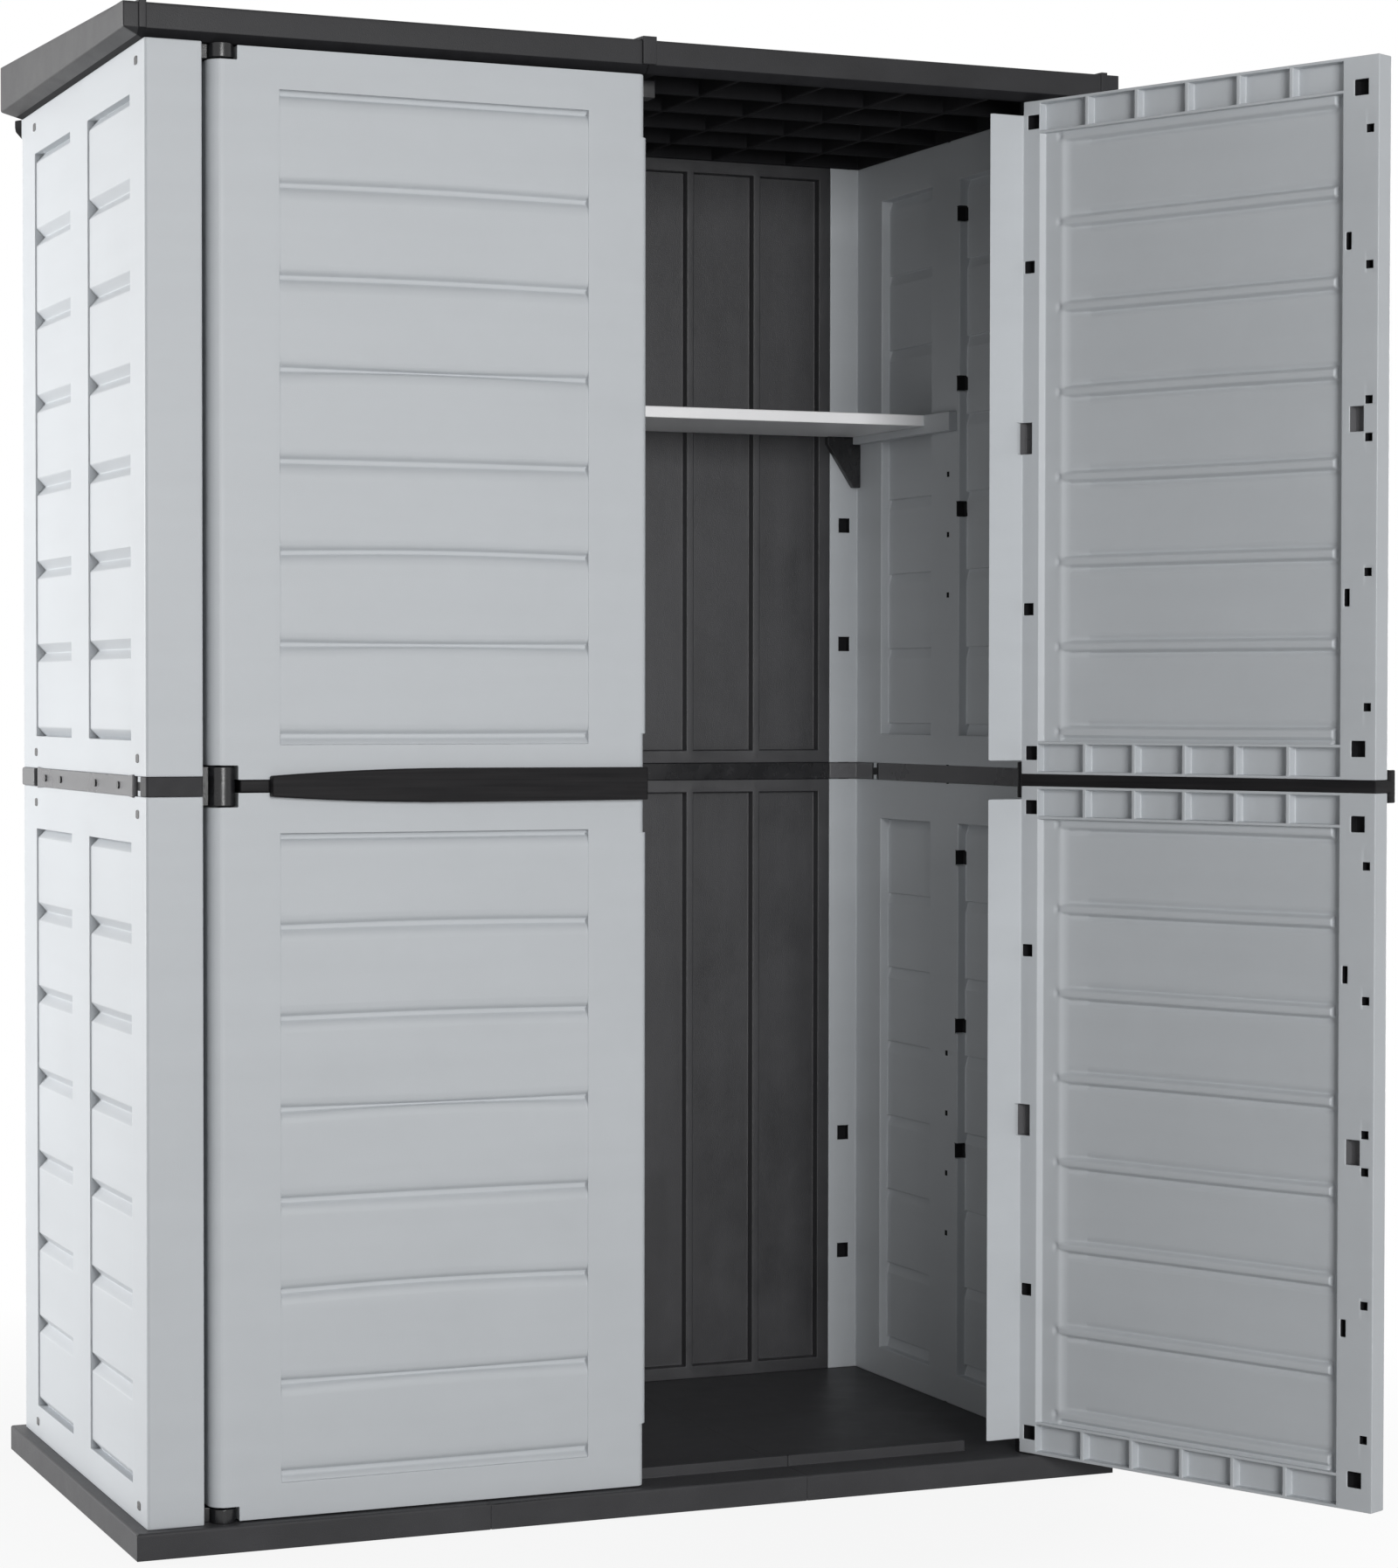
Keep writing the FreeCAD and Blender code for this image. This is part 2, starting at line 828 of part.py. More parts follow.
def roof_joint():
    piece = Piece("roof_joint", 0, 0, roofSeat)
    proud = size.capProud
    half = size.capWidth / 2
    piece.add(
        "YZ",
        -half,
        half,
        [
            (roofFront, size.roofLip),
            (roofFront, roofFrontTop),
            (roofRear, roofRearTop),
            (roofRear, size.roofLip),
            (roofRear + proud, size.roofLip),
            (roofRear + proud, roofRearTop + proud),
            (roofFront - proud, roofFrontTop + proud),
            (roofFront - proud, size.roofLip),
        ],
    )
    return piece.body


def door_catch():
    piece = Piece("door_catch", 0, frontFace + size.catchInset, roofSeat)
    half = size.catchWidth / 2
    piece.add("XY", 0, -size.catchHeight, rectangle(-half, half, 0, size.catchDepth))
    notch = size.catchNotchWidth / 2
    bottom = -size.catchHeight
    piece.cut("XZ", 0, size.catchDepth / 2, rectangle(-notch, notch, bottom, bottom + size.catchNotchHeight))
    return piece.body


roofLeft = roof_half()
roofJoint = roof_joint()
doorCatch = door_catch()


# Doors, drawn shut from the hinge axis: across is along the door, up is its height


def square_hole(across, up, width, height):
    return rectangle(across - width / 2, across + width / 2, up - height / 2, up + height / 2)


def stile_holes(height, freeStile):
    # Square holes of the hinge stile and of the free stile, alike above and below the panel's middle
    middle = height / 2
    free = freeStile + size.latchPocketPlace
    holes = [square_hole(free, middle, size.latchPocketWidth, size.latchPocketHeight)]
    endHole = (size.hingeEndHolePlace, size.hingeEndHoleShare, size.hingeEndHoleSide, size.hingeEndHoleSide)
    hingeHole = (size.hingeHolePlace, size.hingeHoleShare, size.hingeHoleSide, size.hingeHoleSide)
    latchHole = (freeStile + size.latchHolePlace, size.latchHoleShare, size.latchHoleSide, size.latchHoleSide)
    notchPlace = freeStile + size.latchNotchPlace
    notch = (notchPlace, size.latchNotchShare, size.latchNotchWidth, size.latchNotchHeight)
    kinds = [endHole, hingeHole, latchHole, notch]
    for share in (size.outerKeyHoleShare, size.middleKeyHoleShare, size.innerKeyHoleShare):
        kinds.append((freeStile + size.keyHolePlace, share, size.keyHoleSide, size.keyHoleSide))
    for across, share, width, tall in kinds:
        offset = size.panelHeight * share
        holes.append(square_hole(across, middle + offset, width, tall))
        holes.append(square_hole(across, middle - offset, width, tall))
    return holes


def door_shell(label, level):
    piece = Piece(label, hingeX, hingeY, level)
    height = doorPanelHeight
    face = -size.hingeDepth
    edge = size.hingeEdge
    radius = size.edgeRadius
    foot = size.wedgeFoot
    inside = doorInside
    wedge = inside + size.wedgeHeight
    piece.add(
        "XY",
        0,
        height,
        [
            (-edge, face + edge, 0, face + edge, 1),
            (0, face),
            (doorReach - radius, face, doorReach - radius, face + radius, 1),
            (doorReach, face + radius),
            (doorReach, inside),
            (foot, inside),
            (-edge, wedge),
        ],
    )
    # corners cut away round the hinge blocks, with a bore for the pin beyond each
    notch = [
        (-edge, face),
        (size.notchReach, face),
        (size.notchReach, barrelSeat),
        (foot, barrelSeat),
        (foot, wedge),
        (-edge, wedge),
    ]
    bore = Circle(0, 0, size.pinRadius + size.pinClearance)
    piece.cut("XY", 0, size.notchHeight, notch)
    piece.cut("XY", height, height - size.notchHeight, notch)
    piece.cut("XY", size.notchHeight, size.notchHeight + size.boreDepth, bore)
    piece.cut("XY", height - size.notchHeight, height - size.notchHeight - size.boreDepth, bore)
    # field of boards on the outer face, a level ledge above each line and a slope that runs out below
    low = size.doorBottomMargin
    high = height - size.doorTopMargin
    start = size.doorFieldStart
    end = start + size.doorFieldWidth
    outer = face + size.doorFieldRecess
    piece.cut("XZ", face, outer, rectangle(start, end, low, high))
    line = low + size.doorGrooveHeight
    groove = piece.cut("YZ", start, end, [(outer, line), (outer, low), (outer + size.doorGrooveDepth, line)])
    pitch = (high - line) / (size.grooveCount - 1)
    piece.repeat([groove], "Z", pitch, size.grooveCount)
    # recess with sloping sides between the two stiles of the inner face
    innerStart = size.doorInnerStart
    innerEnd = innerStart + size.doorInnerWidth
    slope = size.doorInnerSlope
    inner = inside - size.doorInnerRecess
    margin = size.doorCellMargin
    rowHeight = margin * 2 + size.doorCellHeight
    recess = [
        (innerStart, inside),
        (innerStart + slope, inner),
        (innerEnd - slope, inner),
        (innerEnd, inside),
    ]
    piece.cut("XY", rowHeight, height - rowHeight, recess)
    # sunk boards between bars, which stop short of the free stile
    board = inner - size.boardDepth
    boardEnd = innerEnd - slope
    barLow = line - size.barHeight / 2
    barEnd = size.boardStart + size.barWidth
    sunk = rectangle(size.boardStart, boardEnd, barLow + size.barHeight, barLow + pitch)
    boards = piece.cut("XZ", inner, board, sunk)
    piece.repeat([boards], "Z", pitch, size.grooveCount - 1)
    piece.cut("XZ", inner, board, rectangle(barEnd, boardEnd, rowHeight, height - rowHeight))
    # rows of open cells along the top and bottom of the inner face
    cellPitch = (size.doorInnerWidth + size.doorCellRib) / size.doorCells
    cellEnd = innerStart + cellPitch - size.doorCellRib
    lowCell = rectangle(innerStart, cellEnd, margin, margin + size.doorCellHeight)
    highCell = rectangle(innerStart, cellEnd, height - margin - size.doorCellHeight, height - margin)
    cells = piece.cut("XZ", inside, inside - size.doorCellDepth, lowCell, highCell)
    piece.repeat([cells], "X", cellPitch, size.doorCells)
    piece.cut("XZ", inside, inside - size.holeDepth, *stile_holes(height, innerEnd))
    pocket = square_hole(size.hingePocketPlace, height / 2, size.hingePocketWidth, size.hingePocketHeight)
    piece.cut("XZ", wedge, inside - size.holeDepth, pocket)
    # closed hollow behind the boards
    skin = size.skin
    hollow = rectangle(start, end, outer + size.doorGrooveDepth + skin, board - skin)
    piece.cut("XY", rowHeight, height - rowHeight, hollow)
    return piece.body


def overlap_lip(label, level, low, high):
    # The left door's free edge stands out by a few millimetres between these two heights
    piece = Piece(label, hingeX, hingeY, level)
    face = -size.hingeDepth
    radius = size.edgeRadius
    reach = doorReach + size.lipReach
    piece.add(
        "XY",
        low,
        high,
        [
            (doorReach - radius, face),
            (reach - radius, face, reach - radius, face + radius, 1),
            (reach, face + radius),
            (reach, face + size.lipDepth),
            (doorReach - radius, face + size.lipDepth),
        ],
    )
    return piece.body


def left_door_panel(label, shell, lip):
    panel = doc.addObject("Part::Fuse", label)
    panel.Label = label
    panel.Base = shell
    panel.Tool = lip
    return panel


def handle_rail():
    piece = Piece("handle_rail_left", hingeX, hingeY, bandMiddle)
    face = -size.hingeDepth
    half = size.railHeight / 2
    piece.add(
        "XY",
        -half,
        half,
        [
            (size.railStart, face),
            (doorReach, face),
            (doorReach, doorInside),
            (size.wedgeFoot, doorInside),
            (size.wedgeFoot, barrelSeat),
            (size.railStart, barrelSeat),
        ],
    )
    # long grip that widens in a slow curve from the hinge side
    low = size.barStartHeight / 2
    peak = size.barPeakHeight / 2
    tip = size.barEndHeight / 2
    start = size.barStart
    crest = size.barPeakReach
    run = crest - start
    rise = peak - low
    sweep = (run * run + rise * rise) / (rise * 2)
    piece.add(
        "XZ",
        face,
        face - size.barProud,
        [
            (start, -low, crest, sweep - peak, 1),
            (crest, -peak),
            (doorReach, -tip),
            (doorReach, tip),
            (crest, peak, crest, peak - sweep, 1),
            (start, low),
        ],
    )
    return piece.body


def hinge_block(label, level, height, pinBelow, pinAbove):
    piece = Piece(label, hingeX, hingeY, level)
    barrel = size.barrelRadius
    wallSide = size.pillarWidth - size.hingeInset
    armSide = size.wedgeFoot - size.doorClearance
    piece.add("XY", 0, height, Circle(0, 0, barrel))
    piece.add(
        "XY",
        0,
        height,
        [
            (wallSide, size.armFront),
            (armSide, 0),
            (armSide, size.armRear),
            (wallSide, size.armRear),
        ],
    )
    length = size.doorClearance + size.pinReach
    if pinBelow:
        piece.add("XY", 0, -length, Circle(0, 0, size.pinRadius))
    if pinAbove:
        piece.add("XY", height, height + length, Circle(0, 0, size.pinRadius))
    return piece.body


lowerShell = door_shell("door_shell_lower", doorBottom)
upperShell = door_shell("door_shell_upper", upperDoorBottom)
lipNear = size.lipRailMargin
lipFar = size.lipEndMargin
lowerLip = overlap_lip("door_lip_lower", doorBottom, lipFar, doorPanelHeight - lipNear)
upperLip = overlap_lip("door_lip_upper", upperDoorBottom, lipNear, doorPanelHeight - lipFar)
lowerLeftDoor = left_door_panel("door_panel_lower_left", lowerShell, lowerLip)
upperLeftDoor = left_door_panel("door_panel_upper_left", upperShell, upperLip)
handleRail = handle_rail()

midBlockHeight = size.railHeight + size.notchHeight * 2 - size.doorClearance * 2
bottomBlock = hinge_block("hinge_block_bottom_left", lowerBottom, size.notchHeight, False, True)
midBlock = hinge_block("hinge_block_mid_left", bandMiddle - midBlockHeight / 2, midBlockHeight, True, True)
topBlock = hinge_block("hinge_block_top_left", roofSeat - size.notchHeight, size.notchHeight, True, False)


# Shelf and what carries it


def shelf():
    board = doc.addObject("Part::Box", "shelf")
    board.Label = "shelf"
    side = halfWidth - size.wallThickness
    rear = size.bodyDepth - size.returnDepth - size.shelfRearGap
    bind(board, "Length", side * 2)
    bind(board, "Width", rear - size.shelfFront)
    bind(board, "Height", size.shelfThickness)
    place(board, -side, frontFace + size.shelfFront, size.shelfLevel)
    return board


def shelf_rail():
    # Ledge along the wall, with a raised part in front of the shelf
    piece = Piece("shelf_rail_left", leftFace, frontFace, size.shelfLevel)
    wall = size.wallThickness
    rear = size.bodyDepth - size.returnDepth - size.gussetThickness
    piece.add(
        "YZ",
        wall,
        wall + size.shelfRailWidth,
        [
            (size.shelfRailFront, -size.shelfRailDrop),
            (rear, -size.shelfRailDrop),
            (rear, 0),
            (size.shelfFront, 0),
            (size.shelfFront, size.shelfThickness),
            (size.shelfRailFront, size.shelfThickness),
        ],
    )
    return piece.body


def shelf_gusset():
    rear = size.bodyDepth - size.returnDepth
    piece = Piece("shelf_gusset_left", leftFace, frontFace + rear, size.shelfLevel)
    wall = size.wallThickness
    foot = size.shelfRailDrop
    piece.add(
        "XZ",
        0,
        -size.gussetThickness,
        [
            (wall, -size.gussetDrop),
            (wall + foot, -size.gussetDrop),
            (wall + size.gussetWidth, -foot),
            (wall + size.gussetWidth, 0),
            (wall, 0),
        ],
    )
    return piece.body


shelfBoard = shelf()
shelfRail = shelf_rail()
shelfGusset = shelf_gusset()

# Pieces of the right side of the body
rightBody = [
    mirrored(piece, piece.Label.replace("_left", "_right"))
    for piece in (
        lowerSide,
        upperSide,
        pinsLeft,
        sideBand,
        bandScrews,
        frontCornerBand,
        rearCornerBand,
        bandClips,
        lowerBack,
        upperBack,
        roofLeft,
        bottomBlock,
        midBlock,
        topBlock,
        shelfRail,
        shelfGusset,
    )
]


def opened(piece):
    # A right door piece is turned open about its hinge axis
    axisX = -hingeX
    angle = "Sizes.rightDoorOpen"
    cosine = Size(math.cos(math.radians(sizes["rightDoorOpen"])), f"cos({angle})")
    sine = Size(math.sin(math.radians(sizes["rightDoorOpen"])), f"sin({angle})")
    piece.Placement.Rotation = FreeCAD.Rotation(FreeCAD.Vector(0, 0, 1), sizes["rightDoorOpen"])
    piece.setExpression("Placement.Rotation.Angle", angle)
    place(piece, axisX - axisX * cosine + hingeY * sine, hingeY - axisX * sine - hingeY * cosine, 0)
    return piece


rightDoor = [
    opened(mirrored(lowerShell, "door_panel_lower_right")),
    opened(mirrored(upperShell, "door_panel_upper_right")),
    opened(mirrored(handleRail, "handle_rail_right")),
]

pieces = [
    floorLeft,
    floorMiddle,
    floorRight,
    lowerSide,
    upperSide,
    pinsLeft,
    sideBand,
    bandScrews,
    frontCornerBand,
    rearCornerBand,
    bandClips,
    backBand,
    lowerBack,
    upperBack,
    roofLeft,
    roofJoint,
    doorCatch,
    lowerLeftDoor,
    upperLeftDoor,
    handleRail,
    bottomBlock,
    midBlock,
    topBlock,
    shelfBoard,
    shelfRail,
    shelfGusset,
]
pieces += rightBody + rightDoor

doc.recompute()

# Nothing is written unless every object is sound and every cut has taken something away
for thing in doc.Objects:
    if "Invalid" in thing.State or "Error" in thing.State:
        raise RuntimeError(f"{thing.Label} failed: {thing.State}")
    if thing.TypeId == "PartDesign::Pocket":
        if thing.Shape.Volume >= thing.BaseFeature.Shape.Volume - 1:
            raise RuntimeError(f"{thing.Label} cuts nothing")
for piece in pieces:
    if piece.Shape.isNull() or not piece.Shape.isValid():
        raise RuntimeError(f"{piece.Label} has no sound shape")

os.makedirs("parts", exist_ok=True)
for piece in pieces:
    piece.Shape.exportStep(f"parts/{piece.Label}.step")
print(f"{len(pieces)} pieces written")
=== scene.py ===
import bmesh
import bpy
import json
import math
from mathutils import Matrix, Vector
from mathutils.bvhtree import BVHTree


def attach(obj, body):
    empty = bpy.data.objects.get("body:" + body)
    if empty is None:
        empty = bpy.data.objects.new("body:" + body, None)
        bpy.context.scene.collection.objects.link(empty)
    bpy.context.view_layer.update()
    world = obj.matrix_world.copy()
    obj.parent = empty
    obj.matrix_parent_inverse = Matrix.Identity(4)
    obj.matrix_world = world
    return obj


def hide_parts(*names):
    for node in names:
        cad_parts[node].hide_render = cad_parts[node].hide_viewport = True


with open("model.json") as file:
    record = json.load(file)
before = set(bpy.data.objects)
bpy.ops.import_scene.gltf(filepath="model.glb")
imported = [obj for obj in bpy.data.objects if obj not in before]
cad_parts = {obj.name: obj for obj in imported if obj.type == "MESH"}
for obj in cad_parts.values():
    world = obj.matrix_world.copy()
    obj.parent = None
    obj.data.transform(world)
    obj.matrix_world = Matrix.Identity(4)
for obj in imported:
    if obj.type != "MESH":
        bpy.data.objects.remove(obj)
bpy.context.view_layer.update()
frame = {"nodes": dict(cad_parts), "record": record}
print("frame loaded")


# Finishes

class Wire:
    # a socket that can stand in a sum or product, each of which adds a Math node
    def __init__(self, tree, socket):
        self.tree = tree
        self.socket = socket

    def maths(self, operation, *values):
        node = self.tree.nodes.new("ShaderNodeMath")
        node.operation = operation
        for place, value in enumerate(values):
            if isinstance(value, Wire):
                self.tree.links.new(value.socket, node.inputs[place])
            else:
                node.inputs[place].default_value = value
        return Wire(self.tree, node.outputs[0])

    def __add__(self, other):
        return self.maths("ADD", self, other)

    def __radd__(self, other):
        return self.maths("ADD", other, self)

    def __sub__(self, other):
        return self.maths("SUBTRACT", self, other)

    def __mul__(self, other):
        return self.maths("MULTIPLY", self, other)

    def __truediv__(self, other):
        return self.maths("DIVIDE", self, other)

    def clamped(self):
        return self.maths("MINIMUM", self.maths("MAXIMUM", self, 0.0), 1.0)


class Finish:
    def __init__(self, name):
        self.material = bpy.data.materials.new(name)
        self.material.use_nodes = True
        self.tree = self.material.node_tree
        self.shader = self.tree.nodes["Principled BSDF"]

    def add(self, kind, settings=None, inputs=None, output=0):
        node = self.tree.nodes.new(kind)
        for name, value in (settings or {}).items():
            setattr(node, name, value)
        for name, value in (inputs or {}).items():
            if isinstance(value, Wire):
                self.tree.links.new(value.socket, node.inputs[name])
            else:
                node.inputs[name].default_value = value
        return Wire(self.tree, node.outputs[output])

    def feed(self, name, value):
        self.tree.links.new(value.socket, self.shader.inputs[name])

    def place(self, scale=(1, 1, 1)):
        coordinates = self.add("ShaderNodeTexCoord", output="Object")
        return self.add("ShaderNodeMapping", inputs={"Vector": coordinates, "Scale": scale})

    def noise(self, scale, detail=3.0, roughness=0.5, stretch=(1, 1, 1)):
        return self.add("ShaderNodeTexNoise", inputs={
            "Vector": self.place(stretch), "Scale": scale, "Detail": detail, "Roughness": roughness})

    def tint(self, mask, first, second):
        return self.add("ShaderNodeMix", {"data_type": "RGBA"}, {
            0: mask, 6: (*first, 1), 7: (*second, 1)}, output=2)


plastic = {
    "mottleDetail": 4.0, "mottleRoughness": 0.6, "streakDetail": 3.0, "streakRoughness": 0.5,
    "grainDetail": 2.0, "grainRoughness": 0.6, "middle": 0.5, "refraction": 1.48,
}


def mouldedPlastic(name, look):
    # moulded plastic: slow mottling, faint flow streaks and a fine grain
    finish = Finish(name)
    mottle = finish.noise(look["mottleScale"], plastic["mottleDetail"], plastic["mottleRoughness"])
    streak = finish.noise(
        look["streakScale"], plastic["streakDetail"], plastic["streakRoughness"], look["streakStretch"])
    grain = finish.noise(look["grainScale"], plastic["grainDetail"], plastic["grainRoughness"])
    middle = plastic["middle"]
    mask = (mottle - middle) * look["mottleShare"] + (streak - middle) * look["streakShare"] + middle
    finish.feed("Base Color", finish.tint(mask.clamped(), look["dark"], look["light"]))
    finish.feed("Roughness", (look["roughness"] + (mottle - middle) * look["roughnessSpread"]).clamped())
    finish.shader.inputs["IOR"].default_value = plastic["refraction"]
    finish.shader.inputs["Specular IOR Level"].default_value = look["specular"]
    height = grain + streak * look["streakHeight"] + mottle * look["waviness"]
    bump = finish.add("ShaderNodeBump", inputs={
        "Height": height, "Strength": look["bumpStrength"], "Distance": look["bumpDepth"]})
    finish.feed("Normal", bump)
    return finish.material


wallLook = {
    "dark": (0.478, 0.500, 0.522), "light": (0.552, 0.577, 0.602),
    "mottleScale": 7.0, "mottleShare": 0.6, "streakScale": 30.0, "streakShare": 0.4,
    "streakStretch": (0.1, 0.1, 1), "streakHeight": 0.5, "grainScale": 850.0,
    "roughness": 0.44, "roughnessSpread": 0.22, "specular": 0.35,
    "waviness": 2.0, "bumpStrength": 0.3, "bumpDepth": 0.0005,
}
lidLook = {
    "dark": (0.018, 0.018, 0.019), "light": (0.036, 0.036, 0.039),
    "mottleScale": 9.0, "mottleShare": 1.0, "streakScale": 26.0, "streakShare": 0.4,
    "streakStretch": (0.1, 1, 1), "streakHeight": 0.4, "grainScale": 700.0,
    "roughness": 0.42, "roughnessSpread": 0.3, "specular": 0.20,
    "waviness": 2.0, "bumpStrength": 0.4, "bumpDepth": 0.0006,
}
# the lid and the floor are one charcoal plastic in two copies: the floor's lighter, less glossy copy is a
# painted light that matches how differently the two are lit
basePaintedLightLook = dict(lidLook, dark=(0.040, 0.040, 0.042), light=(0.064, 0.064, 0.068), specular=0.12)
# band grey: lighter than the black-ish plastic it stands for, partly a painted sheen for the side lamp's
# sheen on the side band and the rear corner band; the door's latch pocket takes it as a painted shade
bandSheenAndShadeLook = {
    "dark": (0.11, 0.11, 0.115), "light": (0.18, 0.18, 0.188),
    "mottleScale": 7.0, "mottleShare": 1.3, "streakScale": 60.0, "streakShare": 0.2,
    "streakStretch": (1, 0.3, 1), "streakHeight": 0.4, "grainScale": 900.0,
    "roughness": 0.3, "roughnessSpread": 0.3, "specular": 0.22,
    "waviness": 2.0, "bumpStrength": 0.4, "bumpDepth": 0.0006,
}
cornerLook = dict(
    bandSheenAndShadeLook, dark=(0.012, 0.012, 0.013), light=(0.062, 0.062, 0.066), roughness=0.5, specular=0.12)
trimLook = {
    "dark": (0.008, 0.008, 0.009), "light": (0.018, 0.018, 0.020),
    "mottleScale": 40.0, "mottleShare": 1.0, "streakScale": 60.0, "streakShare": 0.5,
    "streakStretch": (1, 1, 0.2), "streakHeight": 0.3, "grainScale": 900.0,
    "roughness": 0.24, "roughnessSpread": 0.2, "specular": 0.5,
    "waviness": 1.5, "bumpStrength": 0.3, "bumpDepth": 0.0004,
}
railLook = {
    "dark": (0.005, 0.005, 0.006), "light": (0.022, 0.021, 0.022),
    "mottleScale": 12.0, "mottleShare": 0.4, "streakScale": 190.0, "streakShare": 1.4,
    "streakStretch": (0.03, 0.03, 1), "streakHeight": 1.0, "grainScale": 900.0,
    "roughness": 0.42, "roughnessSpread": 0.2, "specular": 0.08,
    "waviness": 1.0, "bumpStrength": 0.4, "bumpDepth": 0.0005,
}
backLook = {
    "dark": (0.022, 0.022, 0.024), "light": (0.050, 0.050, 0.054),
    "mottleScale": 10.0, "mottleShare": 1.0, "streakScale": 30.0, "streakShare": 0.6,
    "streakStretch": (1, 1, 0.1), "streakHeight": 0.5, "grainScale": 700.0,
    "roughness": 0.42, "roughnessSpread": 0.3, "specular": 0.5,
    "waviness": 2.5, "bumpStrength": 0.5, "bumpDepth": 0.0008,
}
shelfLook = {
    "dark": (0.88, 0.88, 0.89), "light": (0.93, 0.93, 0.94),
    "mottleScale": 12.0, "mottleShare": 0.8, "streakScale": 40.0, "streakShare": 0.4,
    "streakStretch": (0.1, 1, 1), "streakHeight": 0.4, "grainScale": 800.0,
    "roughness": 0.35, "roughnessSpread": 0.2, "specular": 0.5,
    "waviness": 1.5, "bumpStrength": 0.3, "bumpDepth": 0.0005,
}
screwLook = {
    "dark": (0.010, 0.010, 0.011), "light": (0.025, 0.025, 0.027),
    "mottleScale": 300.0, "mottleShare": 1.0, "streakScale": 500.0, "streakShare": 0.6,
    "streakStretch": (1, 1, 1), "streakHeight": 0.4, "grainScale": 1500.0,
    "roughness": 0.32, "roughnessSpread": 0.2, "specular": 0.5,
    "waviness": 1.0, "bumpStrength": 0.3, "bumpDepth": 0.0003,
}
# near-black and rough: a painted shade for the faces inside sockets, holes and slots, and for the lid's
# underside
pitPaintedShadeLook = dict(
    trimLook, dark=(0.006, 0.006, 0.007), light=(0.016, 0.016, 0.018), roughness=0.75, specular=0.15)
finishes = {
    "wall": mouldedPlastic("wallGrey", wallLook),
    "lid": mouldedPlastic("lidCharcoal", lidLook),
    "base": mouldedPlastic("baseCharcoal", basePaintedLightLook),
    "band": mouldedPlastic("bandGrey", bandSheenAndShadeLook),
    "corner": mouldedPlastic("cornerBlack", cornerLook),
    "trim": mouldedPlastic("trimBlack", trimLook),
    "rail": mouldedPlastic("railBlack", railLook),
    "back": mouldedPlastic("backBlack", backLook),
    "shelf": mouldedPlastic("shelfWhite", shelfLook),
    "screw": mouldedPlastic("screwBlack", screwLook),
    "pit": mouldedPlastic("pitShade", pitPaintedShadeLook),
}
print("finishes made")


# Moulded copies of the construction's pieces

# lengths in metres, angles in degrees, apart from the flat one in radians
moulding = {
    "merge": 0.00002, "levelGap": 0.0016, "levelAngle": 20, "levelEnds": 0.00003, "levelReach": 0.00005,
    "levelFacing": 0.999, "flat": 0.004, "sharp": 28, "roomShare": 0.42, "segments": 2, "smooth": 50,
    "smallOutline": 0.0145, "stray": 0.45,
}


def alone(thing):
    bpy.ops.object.select_all(action="DESELECT")
    thing.select_set(True)
    bpy.context.view_layer.objects.active = thing


def bodyOf(node):
    for body, members in frame["record"]["behaviour"]["bodies"].items():
        if node in members:
            return body


def hingeOf(body):
    for joint in frame["record"]["behaviour"]["joints"]:
        if joint["child"] == body:
            return joint


def shutting(body):
    # turns a door that stands open at rest back to where it is shut
    joint = hingeOf(body)
    if not joint:
        return Matrix.Identity(4)
    hinge = Matrix.Translation(joint["pos_m"])
    turn = math.radians(min(joint["range_deg"][0], 0))
    return hinge @ Matrix.Rotation(turn, 4, "Z") @ hinge.inverted()


def mouldedCopy(node):
    words = node.split("_")
    mesh = frame["nodes"][node].data.copy()
    mesh.materials.clear()
    piece = bpy.data.objects.new(words[0] + "".join(word.capitalize() for word in words[1:]), mesh)
    bpy.context.scene.collection.objects.link(piece)
    return piece


def isSharp(edge, limit):
    return len(edge.link_faces) == 2 and edge.calc_face_angle() > limit


def featureLevels(form, axis):
    # where the straight edges lie along an axis, the longest first and none too near another
    lengths = {}
    for edge in form.edges:
        first, second = (vert.co for vert in edge.verts)
        level = abs(first[axis] - second[axis]) < moulding["merge"]
        if level and isSharp(edge, math.radians(moulding["levelAngle"])):
            place = round(first[axis], 5)
            lengths[place] = lengths.get(place, 0) + (first - second).length
    chosen = []
    for level in sorted(lengths, key=lambda level: (-round(lengths[level], 4), level)):
        if all(abs(level - other) > moulding["levelGap"] for other in chosen):
            chosen.append(level)
    return chosen


def onLevel(edge, levels):
    first, second = (vert.co for vert in edge.verts)
    normal = edge.link_faces[0].normal
    for axis in range(3):
        level = first[axis]
        if abs(normal[axis]) < moulding["levelFacing"] and abs(level - second[axis]) < moulding["levelEnds"]:
            if any(abs(level - other) < moulding["levelReach"] for other in levels[axis]):
                return True
    return False


def squareUp(piece):
    # cuts along the piece's own levels, then leaves out what lies askew, so that flat faces become rectangles
    alone(piece)
    bpy.context.tool_settings.mesh_select_mode = (False, True, False)
    bpy.ops.object.mode_set(mode="EDIT")
    bpy.ops.mesh.select_all(action="SELECT")
    bpy.ops.mesh.remove_doubles(threshold=moulding["merge"])
    form = bmesh.from_edit_mesh(piece.data)
    levels = [featureLevels(form, axis) for axis in range(3)]
    for axis in range(3):
        direction = Vector((axis == 0, axis == 1, axis == 2))
        for level in levels[axis]:
            bpy.ops.mesh.select_all(action="SELECT")
            bpy.ops.mesh.bisect(plane_co=direction * level, plane_no=direction, threshold=moulding["merge"])
    bpy.ops.mesh.select_all(action="DESELECT")
    form = bmesh.from_edit_mesh(piece.data)
    for edge in form.edges:
        if len(edge.link_faces) == 2 and not isSharp(edge, moulding["flat"]):
            edge.select_set(not onLevel(edge, levels))
    bpy.ops.mesh.dissolve_edges(use_verts=True)
    bpy.ops.object.mode_set(mode="OBJECT")


